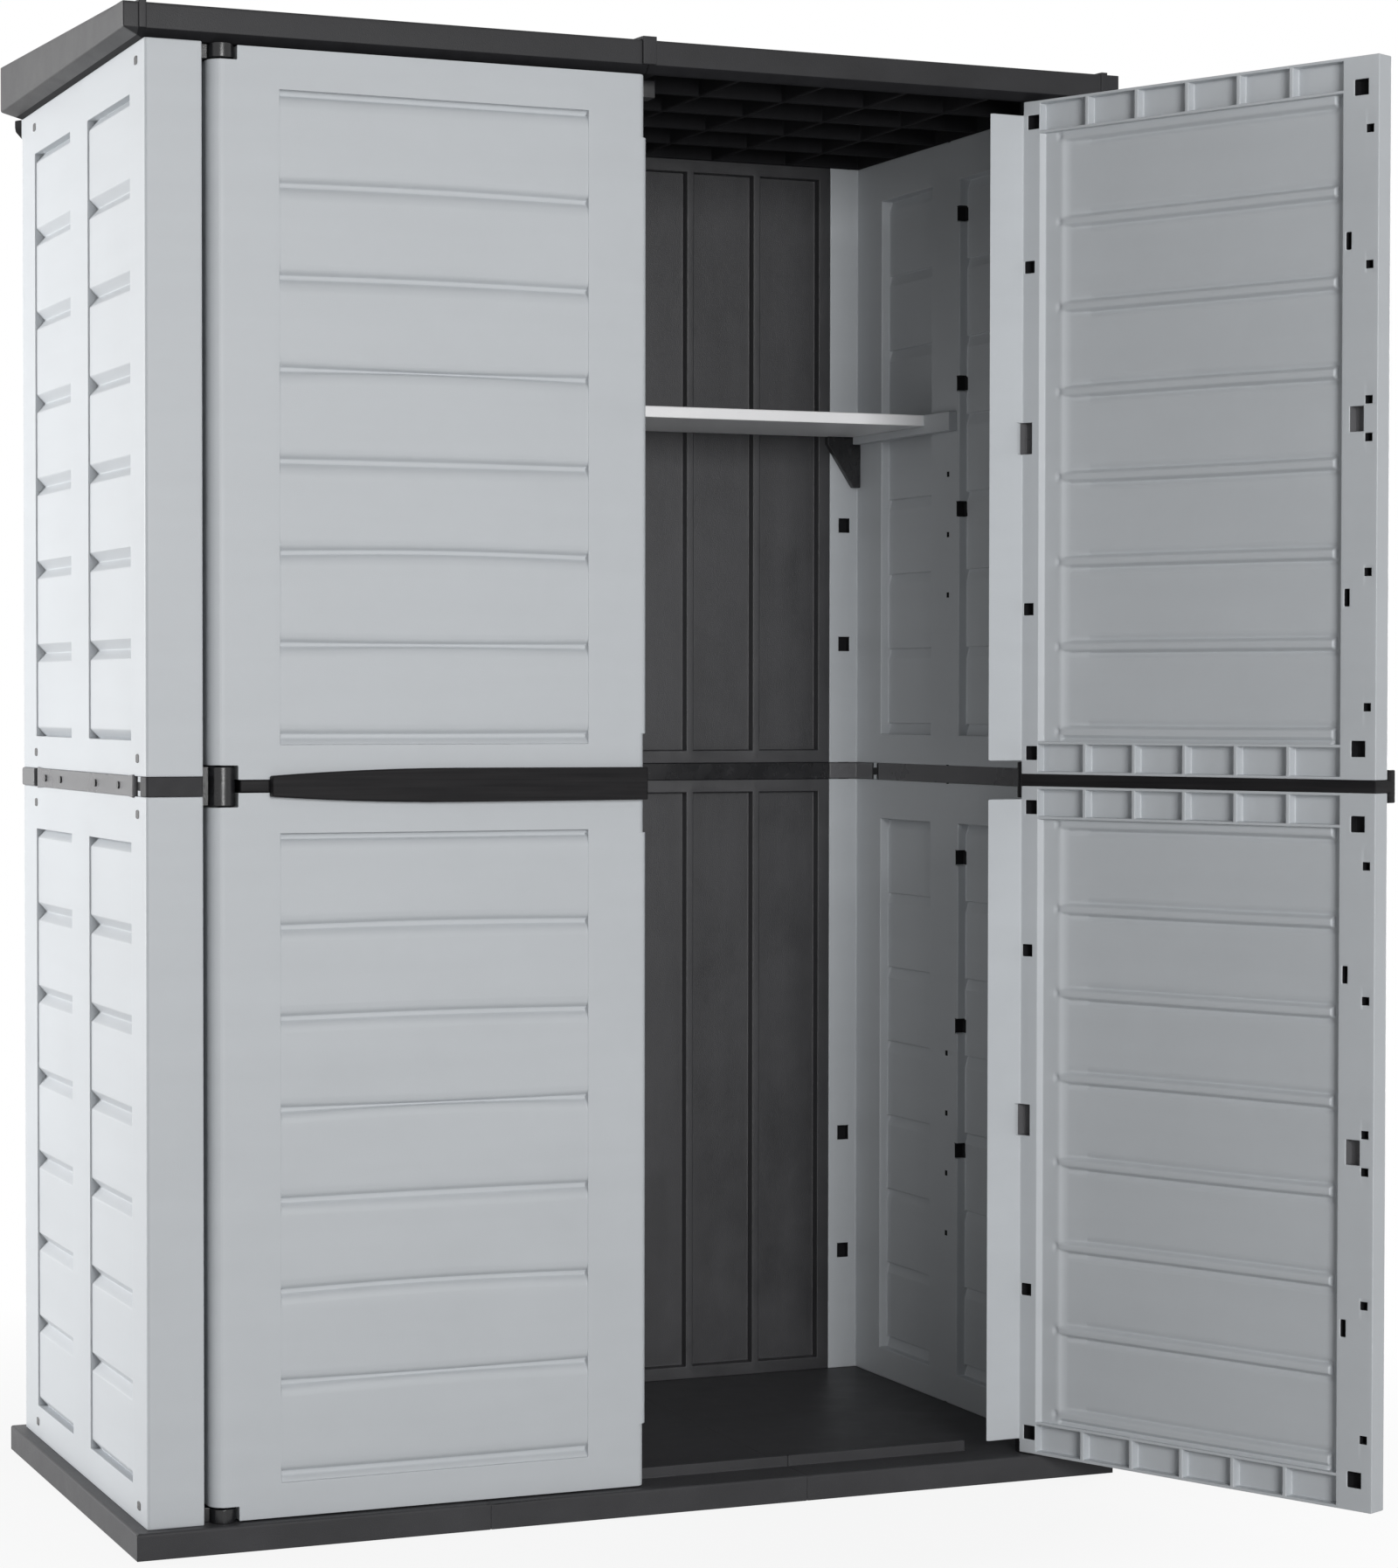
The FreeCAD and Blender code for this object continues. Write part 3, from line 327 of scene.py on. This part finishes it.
def smallOutlines(form, limit):
    # sharp edges that join up to an outline too small to be rounded, such as a pin's slot
    small, seen = set(), set()
    for edge in form.edges:
        if edge in seen or not isSharp(edge, limit):
            continue
        outline, waiting = [], [edge]
        seen.add(edge)
        while waiting:
            current = waiting.pop()
            outline.append(current)
            for other in (other for vert in current.verts for other in vert.link_edges):
                if other not in seen and isSharp(other, limit):
                    seen.add(other)
                    waiting.append(other)
        spots = [vert.co for member in outline for vert in member.verts]
        reach = max(
            max(spot[axis] for spot in spots) - min(spot[axis] for spot in spots) for axis in range(3))
        if reach < moulding["smallOutline"]:
            small.update(outline)
    return small


def holdCorners(piece, surface, width):
    # a rounded corner that lands off the surface it was cut from goes back to it
    for vert in piece.data.vertices:
        spot, normal, face, gap = surface.find_nearest(vert.co)
        if gap > width * moulding["stray"]:
            vert.co = spot


def roundEdges(piece, width):
    # rounds each sharp edge, less where a narrow face beside it leaves no room
    alone(piece)
    form = bmesh.new()
    form.from_mesh(piece.data)
    surface = BVHTree.FromBMesh(form)
    weights = form.edges.layers.float.new("bevel_weight_edge")
    shaped = form.faces.layers.int.get("shaped")
    limit = math.radians(moulding["sharp"])
    small = smallOutlines(form, limit)
    for edge in form.edges:
        if shaped and all(face[shaped] for face in edge.link_faces):
            continue
        if isSharp(edge, limit) and edge not in small:
            start = edge.verts[0].co
            heading = (edge.verts[1].co - start).normalized()
            reach = [
                max((vert.co - start).cross(heading).length for vert in face.verts)
                for face in edge.link_faces]
            edge[weights] = min(1, moulding["roomShare"] * min(reach) / width)
    form.to_mesh(piece.data)
    form.free()
    bevel = piece.modifiers.new("edges", "BEVEL")
    bevel.width = width
    bevel.segments = moulding["segments"]
    bevel.limit_method = "WEIGHT"
    bevel.use_clamp_overlap = False
    bpy.ops.object.modifier_apply(modifier="edges")
    holdCorners(piece, surface, width)
    for name in ("shaped", "bevel_weight_edge"):
        if name in piece.data.attributes:
            piece.data.attributes.remove(piece.data.attributes[name])


def smoothShade(piece):
    alone(piece)
    bpy.ops.object.shade_smooth_by_angle(angle=math.radians(moulding["smooth"]))
    weighted = piece.modifiers.new("shading", "WEIGHTED_NORMAL")
    weighted.keep_sharp = True
    bpy.ops.object.modifier_apply(modifier="shading")


def handOver(piece, slot, *nodes):
    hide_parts(*nodes)
    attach(piece, bodyOf(nodes[0]))


# Doors: the boards are drawn by hand in the mould, so each line between them wavers in its own way.
# A wave has its mean, its swing, its rate from line to line and its start

door = {
    "face": -0.014, "field": -0.013, "groove": -0.006, "fieldSpan": (0.075, 0.501),
    "wallSpan": (0.0345, 0.5225), "floor": 0.012, "board": 0.008, "boardStart": 0.065, "barEnd": 0.511,
    "halfBar": 0.00625, "shoulder": 0.0009, "firstLine": 0.060, "pitch": 0.1185, "lines": 8, "steps": 12,
    "near": 0.0004, "endCuts": (0.003, 0.009),
    "boardCuts": (-0.014, -0.0105, -0.0075, -0.0045, -0.0026, 0.0026, 0.0046, 0.007, 0.010, 0.014),
    "barEndCuts": (-0.0045, -0.0026, 0.0026, 0.0046, 0.007),
    "barCuts": (0.00175, 0.00365, 0.005, 0.00885, 0.01085, 0.01325, 0.01625, 0.02025),
    "pitSetback": 0.0075, "pitDepth": 0.0032, "pitWidth": 0.0028, "drift": 0.0010, "fadeEnd": 0.045,
    "fadeRun": 0.020, "topSlope": 0.0032, "topRun": 0.009, "step": 0.001, "pitStretch": 0.7,
    "blendStart": 0.011, "blendRun": 0.013, "upperWave": (0.0005, -0.0028, 1.9, 0.4),
    "lowerWave": (0.0025, 0.0030, 2.4, 4.0),
}
# depth below the field at a height from the line, in metres: a round shoulder, the channel, a softer one
grooveProfile = (
    (-0.0240, 0), (-0.0205, 0.0003), (-0.0175, 0.0008), (-0.0150, 0.0014), (-0.0130, 0.0022),
    (-0.0110, 0.0033), (-0.0090, 0.0050), (-0.0070, 0.0071), (-0.0050, 0.0076), (-0.0025, 0.0076),
    (-0.0010, 0.0074), (0, 0.0062), (0.0022, 0.0030), (0.0045, 0.0016), (0.0070, 0.0009), (0.0100, 0.0004),
    (0.0140, 0),
)
# depth below a bar at a distance from its side: the rounded side, a valley, then the board
barProfile = (
    (-0.0045, 0), (-0.0026, 0.0003), (-0.0009, 0.0014), (0.0009, 0.0042), (0.0026, 0.0070),
    (0.0046, 0.0074), (0.0070, 0.0058), (0.0100, 0.0046), (0.0140, 0.0040),
)
# depth below the stile at a distance from the boards' hinge side, which slopes off gently
edgeProfile = (
    (-0.0045, 0), (-0.0009, 0.0006), (0.0009, 0.0014), (0.0046, 0.0028), (0.0100, 0.0038), (0.0140, 0.0040),
    (0.0180, 0.0080),
)
# depth of the shallow valley below the lowest bar
footProfile = ((-0.01325, 0), (-0.01085, 0.0022), (-0.00885, 0.0034), (-0.00730, 0.0020), (-0.005, 0))


def along(profile, place):
    if place <= profile[0][0]:
        return profile[0][1]
    for (start, low), (end, high) in zip(profile, profile[1:]):
        if place <= end:
            return low + (high - low) * (place - start) / (end - start)
    return profile[-1][1]


def clamp(value):
    return min(1, max(0, value))


def nearestLine(up):
    line = min(door["lines"] - 1, max(0, round((up - door["firstLine"]) / door["pitch"])))
    return line, up - door["firstLine"] - line * door["pitch"]


def isTop(line):
    return line == door["lines"] - 1


def onWave(wave, line):
    mean, swing, rate, start = door[wave]
    return mean + swing * math.sin(rate * line + start)


def waver(height, line, share):
    # how far the boards' edges stray from the line's level, most in the middle of their run
    upper = 0 if isTop(line) else onWave("upperWave", line)
    lower = 0 if isTop(line) or line == 0 else onWave("lowerWave", line)
    fade = clamp((door["fadeEnd"] - abs(height)) / door["fadeRun"])
    blend = clamp((height + door["blendStart"]) / door["blendRun"])
    return (lower + (upper - lower) * blend) * fade * math.sin(math.pi * clamp(share))


def shapeField(across, deep, up):
    # a point of the outer field moves to the rounded channel's surface
    line, height = nearestLine(up)
    if deep < door["field"] - door["near"]:
        return across, deep, up
    start, end = door["fieldSpan"]
    move = waver(height, line, (across - start) / (end - start))
    if abs(height) < door["near"] and deep > door["groove"] - door["near"]:
        move -= door["step"]
        height -= door["step"]
    if isTop(line) and height < -door["near"]:
        move -= door["topSlope"] * clamp(1 + height / door["topRun"])
    return across, door["field"] + along(grooveProfile, height), up + move


def barDistance(across, height, line):
    # how far a point is outside the nearest bar, or inside it if negative
    beyond = across - door["barEnd"]
    if line == 0 and height < 0 or isTop(line) and height > 0:
        return beyond if beyond > 0 else -door["halfBar"]
    beside = abs(height) - door["halfBar"]
    if beyond > 0 and beside > 0:
        return math.hypot(beyond, beside)
    return beyond if beyond > 0 else beside


def shapeBoards(across, deep, up):
    # a point of the inner boards or bars moves to the rounded surface
    line, height = nearestLine(up)
    run = clamp((across - door["boardStart"]) / (door["barEnd"] - door["boardStart"]))
    fade = clamp((door["fadeEnd"] - abs(height)) / door["fadeRun"])
    rate, start = door["lowerWave"][2:]
    move = door["drift"] * math.sin(rate * line + start) * math.sin(math.pi * run) * fade
    outward = door["shoulder"] * (1 if deep < (door["floor"] + door["board"]) / 2 else -1)
    beside = abs(height) - door["halfBar"]
    left = across - door["boardStart"]
    if abs(left) < door["near"] and beside > -door["near"]:
        across += outward
    elif abs(across - door["barEnd"]) < door["near"] and beside < door["near"]:
        across += outward
    pastEnd = across - door["barEnd"] - door["shoulder"] * 2
    if abs(beside) < door["near"] and left > -door["near"] and pastEnd < 0:
        height += math.copysign(outward, height)
        move += math.copysign(outward, height)
    left = across - door["boardStart"]
    distance = barDistance(across, height, line)
    depth = min(along(barProfile, distance), along(edgeProfile, left))
    if line == 0 and height < 0 and 0 < left and across < door["barEnd"]:
        depth = max(depth, along(footProfile, height))
    reach = math.hypot(left + door["pitSetback"], height * door["pitStretch"]) / door["pitWidth"]
    depth += door["pitDepth"] * math.exp(-reach * reach / 2)
    return across, door["floor"] - depth, up + move


def doorCuts():
    # the places across and up the door where its field and its boards are cut before they are shaped
    lines = [door["firstLine"] + door["pitch"] * line for line in range(door["lines"])]
    start, end = door["fieldSpan"]
    run = [start + (end - start) * count / door["steps"] for count in range(1, door["steps"])]
    fieldAcross = run + [start + cut for cut in door["endCuts"]] + [end - cut for cut in door["endCuts"]]
    heights = [height for height, depth in grooveProfile if height not in (0, -door["step"])]
    fieldUp = [line + height for line in lines for height in heights]
    wallAcross = run + [door["boardStart"] + cut for cut in door["boardCuts"]]
    wallAcross += [door["barEnd"] + cut for cut in door["barEndCuts"]]
    wallUp = [line + cut * side for line in lines for cut in door["barCuts"] for side in (-1, 1)]
    return (fieldAcross, fieldUp), (wallAcross, wallUp)


def shapeDoor(piece, node):
    # cuts the field and the boards into strips and moves each strip's edges to the moulded form
    hinge = Vector(hingeOf(bodyOf(node))["pos_m"])
    side = -1 if hinge.x > 0 else 1
    bottom = min(vert.co.z for vert in piece.data.vertices)

    def own(spot):
        return (spot.x - hinge.x) * side, spot.y - hinge.y, spot.z - bottom

    form = bmesh.new()
    form.from_mesh(piece.data)
    shaped = form.faces.layers.int.new("shaped")
    zones = (
        (door["fieldSpan"], (door["face"], door["groove"])),
        (door["wallSpan"], (door["board"], door["floor"])),
    )
    for (span, depths), (acrossCuts, upCuts), shape in zip(zones, doorCuts(), (shapeField, shapeBoards)):
        chosen = []
        for face in form.faces:
            spots = [own(vert.co) for vert in face.verts]
            inSpan = all(span[0] - door["near"] < spot[0] < span[1] + door["near"] for spot in spots)
            inDepth = all(depths[0] - door["near"] < spot[1] < depths[1] + door["near"] for spot in spots)
            least = depths[0] + door["near"] * (1 if shape == shapeField else -1)
            if inSpan and inDepth and max(spot[1] for spot in spots) > least:
                face[shaped] = 1
                chosen.append(face)
        parts = list(dict.fromkeys(part for face in chosen for part in (*face.edges, *face.verts, face)))
        planes = [((hinge.x + cut * side, 0, 0), (1, 0, 0)) for cut in acrossCuts]
        planes += [((0, 0, bottom + cut), (0, 0, 1)) for cut in upCuts]
        for place, direction in planes:
            parts = bmesh.ops.bisect_plane(
                form, geom=parts, dist=moulding["merge"], plane_co=place, plane_no=direction)["geom"]
        for part in parts:
            if isinstance(part, bmesh.types.BMVert):
                across, deep, up = shape(*own(part.co))
                part.co = (hinge.x + across * side, hinge.y + deep, bottom + up)
    bmesh.ops.remove_doubles(form, verts=form.verts, dist=moulding["merge"])
    form.normal_update()
    form.to_mesh(piece.data)
    form.free()


# Sockets, key holes and slots open into hollows whose dark is painted: their faces get a near-black finish, a
# painted shade.
# Each is a range of two of the panel's own measures, with the shares of its height where they are if they
# aren't all along it

pits = {
    "door_panel": (((-0.010, 0.0290), (0.0050, 0.0190), None), ((0.5275, 0.5760), (0.0050, 0.0190), None)),
    "side_panel": (
        ((0.0355, 0.0505), (0.3432, 0.3515), (0.88, 0.61, 0.41)), ((0.0425, 0.0498), (0.3745, 0.3835), None),
        ((0.0635, 0.0825), (0.7013, 0.7115), None),
    ),
    # the last two place the door's latch pocket, which is painted grey as a painted shade
    "halfSocket": 0.0115, "paleUpTo": 0.562, "halfPale": 0.0225,
}
panel = {"outerFace": 0.690, "frontFace": -0.3625, "rearFace": 0.3629, "height": 0.9425}
lidUnder = {"overhang": 0.698, "halfDepth": 0.364, "slope": 0.5}


def inPit(spot, up, pit):
    (near, far), (front, back), shares = pit
    if not (near < spot[0] < far and front < spot[1] < back):
        return False
    return not shares or any(abs(up - panel["height"] * share) < pits["halfSocket"] for share in shares)


# paints the faces inside the pits near-black, a painted shade for their hollows; faces behind the panel's
# rear face take the same near-black
def darkenPits(piece, node, family):
    piece.data.materials.append(finishes["pit"])
    piece.data.materials.append(finishes["band"])
    joint = hingeOf(bodyOf(node))
    bottom = min(vert.co.z for vert in piece.data.vertices)
    for face in piece.data.polygons:
        up = face.center.z - bottom
        pale = False
        if family == "door_panel":
            hinge = Vector(joint["pos_m"])
            spot = abs(hinge.x) - abs(face.center.x), face.center.y - hinge.y
            # the door's latch pocket is painted in the band's grey: a painted shade, lighter than the pits'
            # black
            pale = spot[0] < pits["paleUpTo"] and abs(up - panel["height"] / 2) < pits["halfPale"]
        else:
            spot = panel["outerFace"] - abs(face.center.x), face.center.y - panel["frontFace"]
        if face.center.y > panel["rearFace"] or any(inPit(spot, up, pit) for pit in pits[family]):
            face.material_index = 2 if pale else 1


def paintLidUndersideShade(piece):
    # the lid's underside, apart from its overhang beside the walls, is painted near-black: a painted shade
    # for the dark inside the cabinet and in the gap under the soffit
    piece.data.materials.append(finishes["pit"])
    form = bmesh.new()
    form.from_mesh(piece.data)
    for side in (-1, 1):
        parts = [*form.verts, *form.edges, *form.faces]
        place = (side * lidUnder["overhang"], 0, 0)
        bmesh.ops.bisect_plane(form, geom=parts, dist=moulding["merge"], plane_co=place, plane_no=(1, 0, 0))
    for face in form.faces:
        middle = face.calc_center_median()
        facing = -1 if abs(middle.y) > lidUnder["halfDepth"] else 1
        if abs(middle.x) < lidUnder["overhang"] and face.normal.z < lidUnder["slope"] * facing:
            face.material_index = 1
    form.to_mesh(piece.data)
    form.free()


# Small forms on the outer faces of the side walls

wallForms = {
    "outer": 0.6898, "pinFace": 0.6902, "pinPlaces": (0.044, 0.641), "pinSpread": 3.4,
    "knobProud": 0.003, "lugStart": 0.3630, "lugFlare": 0.008,
    "clipSpans": ((0.030, 0.060), (0.621, 0.644)), "clipTick": 0.006, "clipGaps": (0.28, 0.72),
}


def shapeWallForms(piece, family):
    # the pins' heads, the rear end of the band and the lug under the lid stand out a little
    for vert in piece.data.vertices:
        outward = math.copysign(1, vert.co.x)
        reach = abs(vert.co.x)
        if family == "panel_pins" and reach > wallForms["pinFace"]:
            places = [panel["frontFace"] + place for place in wallForms["pinPlaces"]]
            middle = min(places, key=lambda place: abs(place - vert.co.y))
            vert.co.y = middle + (vert.co.y - middle) * wallForms["pinSpread"]
        if family == "rear_corner_band" and reach > wallForms["outer"]:
            vert.co.x += outward * wallForms["knobProud"]
        if family == "side_panel" and vert.co.y > wallForms["lugStart"] and reach > wallForms["outer"]:
            vert.co.x += outward * wallForms["lugFlare"]


def markClips(piece):
    # each clip has two dark edges and a dark middle, with grey above and below it
    piece.data.materials.append(finishes["wall"])
    form = bmesh.new()
    form.from_mesh(piece.data)
    low = min(vert.co.z for vert in form.verts)
    height = max(vert.co.z for vert in form.verts) - low
    tick = wallForms["clipTick"]
    front = panel["frontFace"]
    spans = [(front + start + tick, front + end - tick) for start, end in wallForms["clipSpans"]]
    planes = [((0, place, 0), (0, 1, 0)) for span in spans for place in span]
    planes += [((0, 0, low + height * share), (0, 0, 1)) for share in wallForms["clipGaps"]]
    for place, direction in planes:
        parts = [*form.verts, *form.edges, *form.faces]
        bmesh.ops.bisect_plane(form, geom=parts, dist=moulding["merge"], plane_co=place, plane_no=direction)
    for face in form.faces:
        middle = face.calc_center_median()
        share = (middle.z - low) / height
        between = any(start < middle.y < end for start, end in spans)
        face.material_index = int(between and not wallForms["clipGaps"][0] < share < wallForms["clipGaps"][1])
    form.to_mesh(piece.data)
    form.free()


softening = {
    "door_panel": ("wall", "wall_panel", 0.0015),
    "side_panel": ("wall", "wall_panel", 0.0015),
    "roof_joint": ("lid", "lid_and_floor", 0.0015),
    "roof": ("lid", "lid_and_floor", 0.0022),
    "floor": ("base", "lid_and_floor", 0.0015),
    "back_panel": ("back", "back_panel", 0.0015),
    "back_band": ("trim", "black_trim", 0.0012),
    "side_band": ("band", "grey_band", 0.0010),
    "front_corner_band": ("corner", "black_trim", 0.0015),
    # the rear corner band is black trim given the band's grey, a painted sheen
    "rear_corner_band": ("band", "black_trim", 0.0030),
    "band_clips": ("trim", "black_trim", 0.0010),
    "band_screws": ("screw", "screw", 0.0005),
    "panel_pins": ("trim", "black_trim", 0.0002),
    "door_catch": ("trim", "black_trim", 0.0012),
    "handle_rail": ("rail", "black_trim", 0.0025),
    "hinge_block": ("trim", "black_trim", 0.0010),
    "shelf_rail": ("wall", "grey_band", 0.0012),
    "shelf_gusset": ("trim", "black_trim", 0.0012),
    "shelf": ("shelf", "shelf", 0.0020),
}
for node in sorted(frame["nodes"]):
    family = next(start for start in softening if node.startswith(start))
    finish, slot, width = softening[family]
    piece = mouldedCopy(node)
    shut = shutting(bodyOf(node))
    piece.data.transform(shut)
    squareUp(piece)
    if family == "door_panel":
        shapeDoor(piece, node)
    shapeWallForms(piece, family)
    roundEdges(piece, width)
    piece.data.materials.append(finishes[finish])
    if family in pits:
        darkenPits(piece, node, family)
    if family == "band_clips":
        markClips(piece)
    if family == "roof":
        paintLidUndersideShade(piece)
    piece.data.transform(shut.inverted())
    smoothShade(piece)
    handOver(piece, slot, node)
print("pieces moulded")


# Stage, lights and camera

studio = {
    "floorReach": 30.0, "floorColour": (0.40, 0.40, 0.40), "floorNoise": 1.5, "floorDetail": 2.0,
    "floorTint": 1.02, "floorRoughness": 0.9, "floorLift": 0.90, "fadeStart": 0.8, "fadeRun": 0.9,
    "worldColour": (1, 1, 1), "worldStrength": 0.16,
}
# each lamp's place and the point it faces in metres, its power in watts, its spread in degrees
lamps = {
    "front": {
        "place": (-0.5, -7.2, 1.9), "aim": (0, 0, 1), "size": (2.0, 2.0), "power": 305.0, "spread": 180},
    "side": {
        "place": (-4.8, 3.0, 1.4), "aim": (-0.7, 0, 1), "size": (3.0, 3.0), "power": 345.0, "spread": 180},
    "right": {
        "place": (4.8, 3.0, 1.4), "aim": (0.7, 0, 1), "size": (3.0, 3.0), "power": 230.0, "spread": 180},
    "inside": {
        "place": (-0.50, -0.12, 1.0), "aim": (0.6, 0.28, 1.0), "size": (0.3, 1.7), "power": 1.1,
        "spread": 100},
}


def softLamp(name, lamp):
    data = bpy.data.lights.new(name + "Lamp", "AREA")
    data.shape = "RECTANGLE"
    data.size, data.size_y = lamp["size"]
    data.spread = math.radians(lamp["spread"])
    data.energy = lamp["power"]
    light = bpy.data.objects.new(name + "Lamp", data)
    light.location = lamp["place"]
    towards = Vector(lamp["aim"]) - Vector(lamp["place"])
    light.rotation_euler = towards.to_track_quat("-Z", "Y").to_euler()
    light.visible_camera = False
    bpy.context.scene.collection.objects.link(light)


def seenDirectly(tree):
    # one where the camera, a reflection or a see-through surface looks at the background
    path = tree.nodes.new("ShaderNodeLightPath")
    kinds = ("Is Camera Ray", "Is Glossy Ray", "Is Transmission Ray")
    camera, glossy, through = (Wire(tree, path.outputs[kind]) for kind in kinds)
    return (camera + glossy + through).clamped()


def makeStage():
    # a pale floor that keeps the object's shadow and fades to the white background further out
    bpy.ops.object.select_all(action="DESELECT")
    bpy.ops.mesh.primitive_plane_add(size=studio["floorReach"] * 2, location=(0, 0, 0))
    floor = bpy.context.active_object
    floor.name = "studioFloor"
    paint = Finish("studioPale")
    soft = paint.noise(studio["floorNoise"], studio["floorDetail"])
    pale = studio["floorColour"]
    paint.feed("Base Color", paint.tint(soft, pale, tuple(part * studio["floorTint"] for part in pale)))
    paint.shader.inputs["Roughness"].default_value = studio["floorRoughness"]
    distance = paint.add("ShaderNodeVectorMath", {"operation": "LENGTH"}, {0: paint.place()}, output=1)
    fade = ((distance - studio["fadeStart"]) / studio["fadeRun"]).clamped()
    glow = paint.add("ShaderNodeEmission", inputs={"Color": (1, 1, 1, 1), "Strength": 1.0})
    shaded = Wire(paint.tree, paint.shader.outputs[0])
    share = seenDirectly(paint.tree) * (studio["floorLift"] + fade * (1 - studio["floorLift"]))
    mixed = paint.add("ShaderNodeMixShader", inputs={0: share, 1: shaded, 2: glow})
    paint.tree.links.new(mixed.socket, paint.tree.nodes["Material Output"].inputs["Surface"])
    floor.data.materials.append(paint.material)


def makeWorld():
    world = bpy.data.worlds.new("studioWorld")
    bpy.context.scene.world = world
    world.use_nodes = True
    tree = world.node_tree
    background = tree.nodes["Background"]
    background.inputs["Color"].default_value = (*studio["worldColour"], 1)
    strength = seenDirectly(tree) * (1 - studio["worldStrength"]) + studio["worldStrength"]
    tree.links.new(strength.socket, background.inputs["Strength"])


makeStage()
makeWorld()
for name, lamp in lamps.items():
    softLamp(name, lamp)

view = {
    "place": (-1.83254, -4.92701, 1.10190), "turn": 0.3958045, "tilt": -0.0233932, "roll": 0.0012983,
    "focalPixels": 4174.98, "frameWidth": 1600, "sensorWidth": 36.0, "clipEnd": 100,
}
camera = bpy.data.cameras.new("photoCamera")
camera.sensor_fit = "HORIZONTAL"
camera.sensor_width = view["sensorWidth"]
camera.lens = view["sensorWidth"] * view["focalPixels"] / view["frameWidth"]
camera.clip_end = view["clipEnd"]
eye = bpy.data.objects.new("photoCamera", camera)
upright = Matrix.Rotation(-view["turn"], 4, "Z") @ Matrix.Rotation(math.pi / 2 + view["tilt"], 4, "X")
eye.matrix_world = Matrix.Translation(view["place"]) @ upright @ Matrix.Rotation(view["roll"], 4, "Z")
bpy.context.scene.collection.objects.link(eye)
bpy.context.scene.camera = eye
bpy.context.scene.view_settings.view_transform = "Standard"
print("stage, lights and camera set")
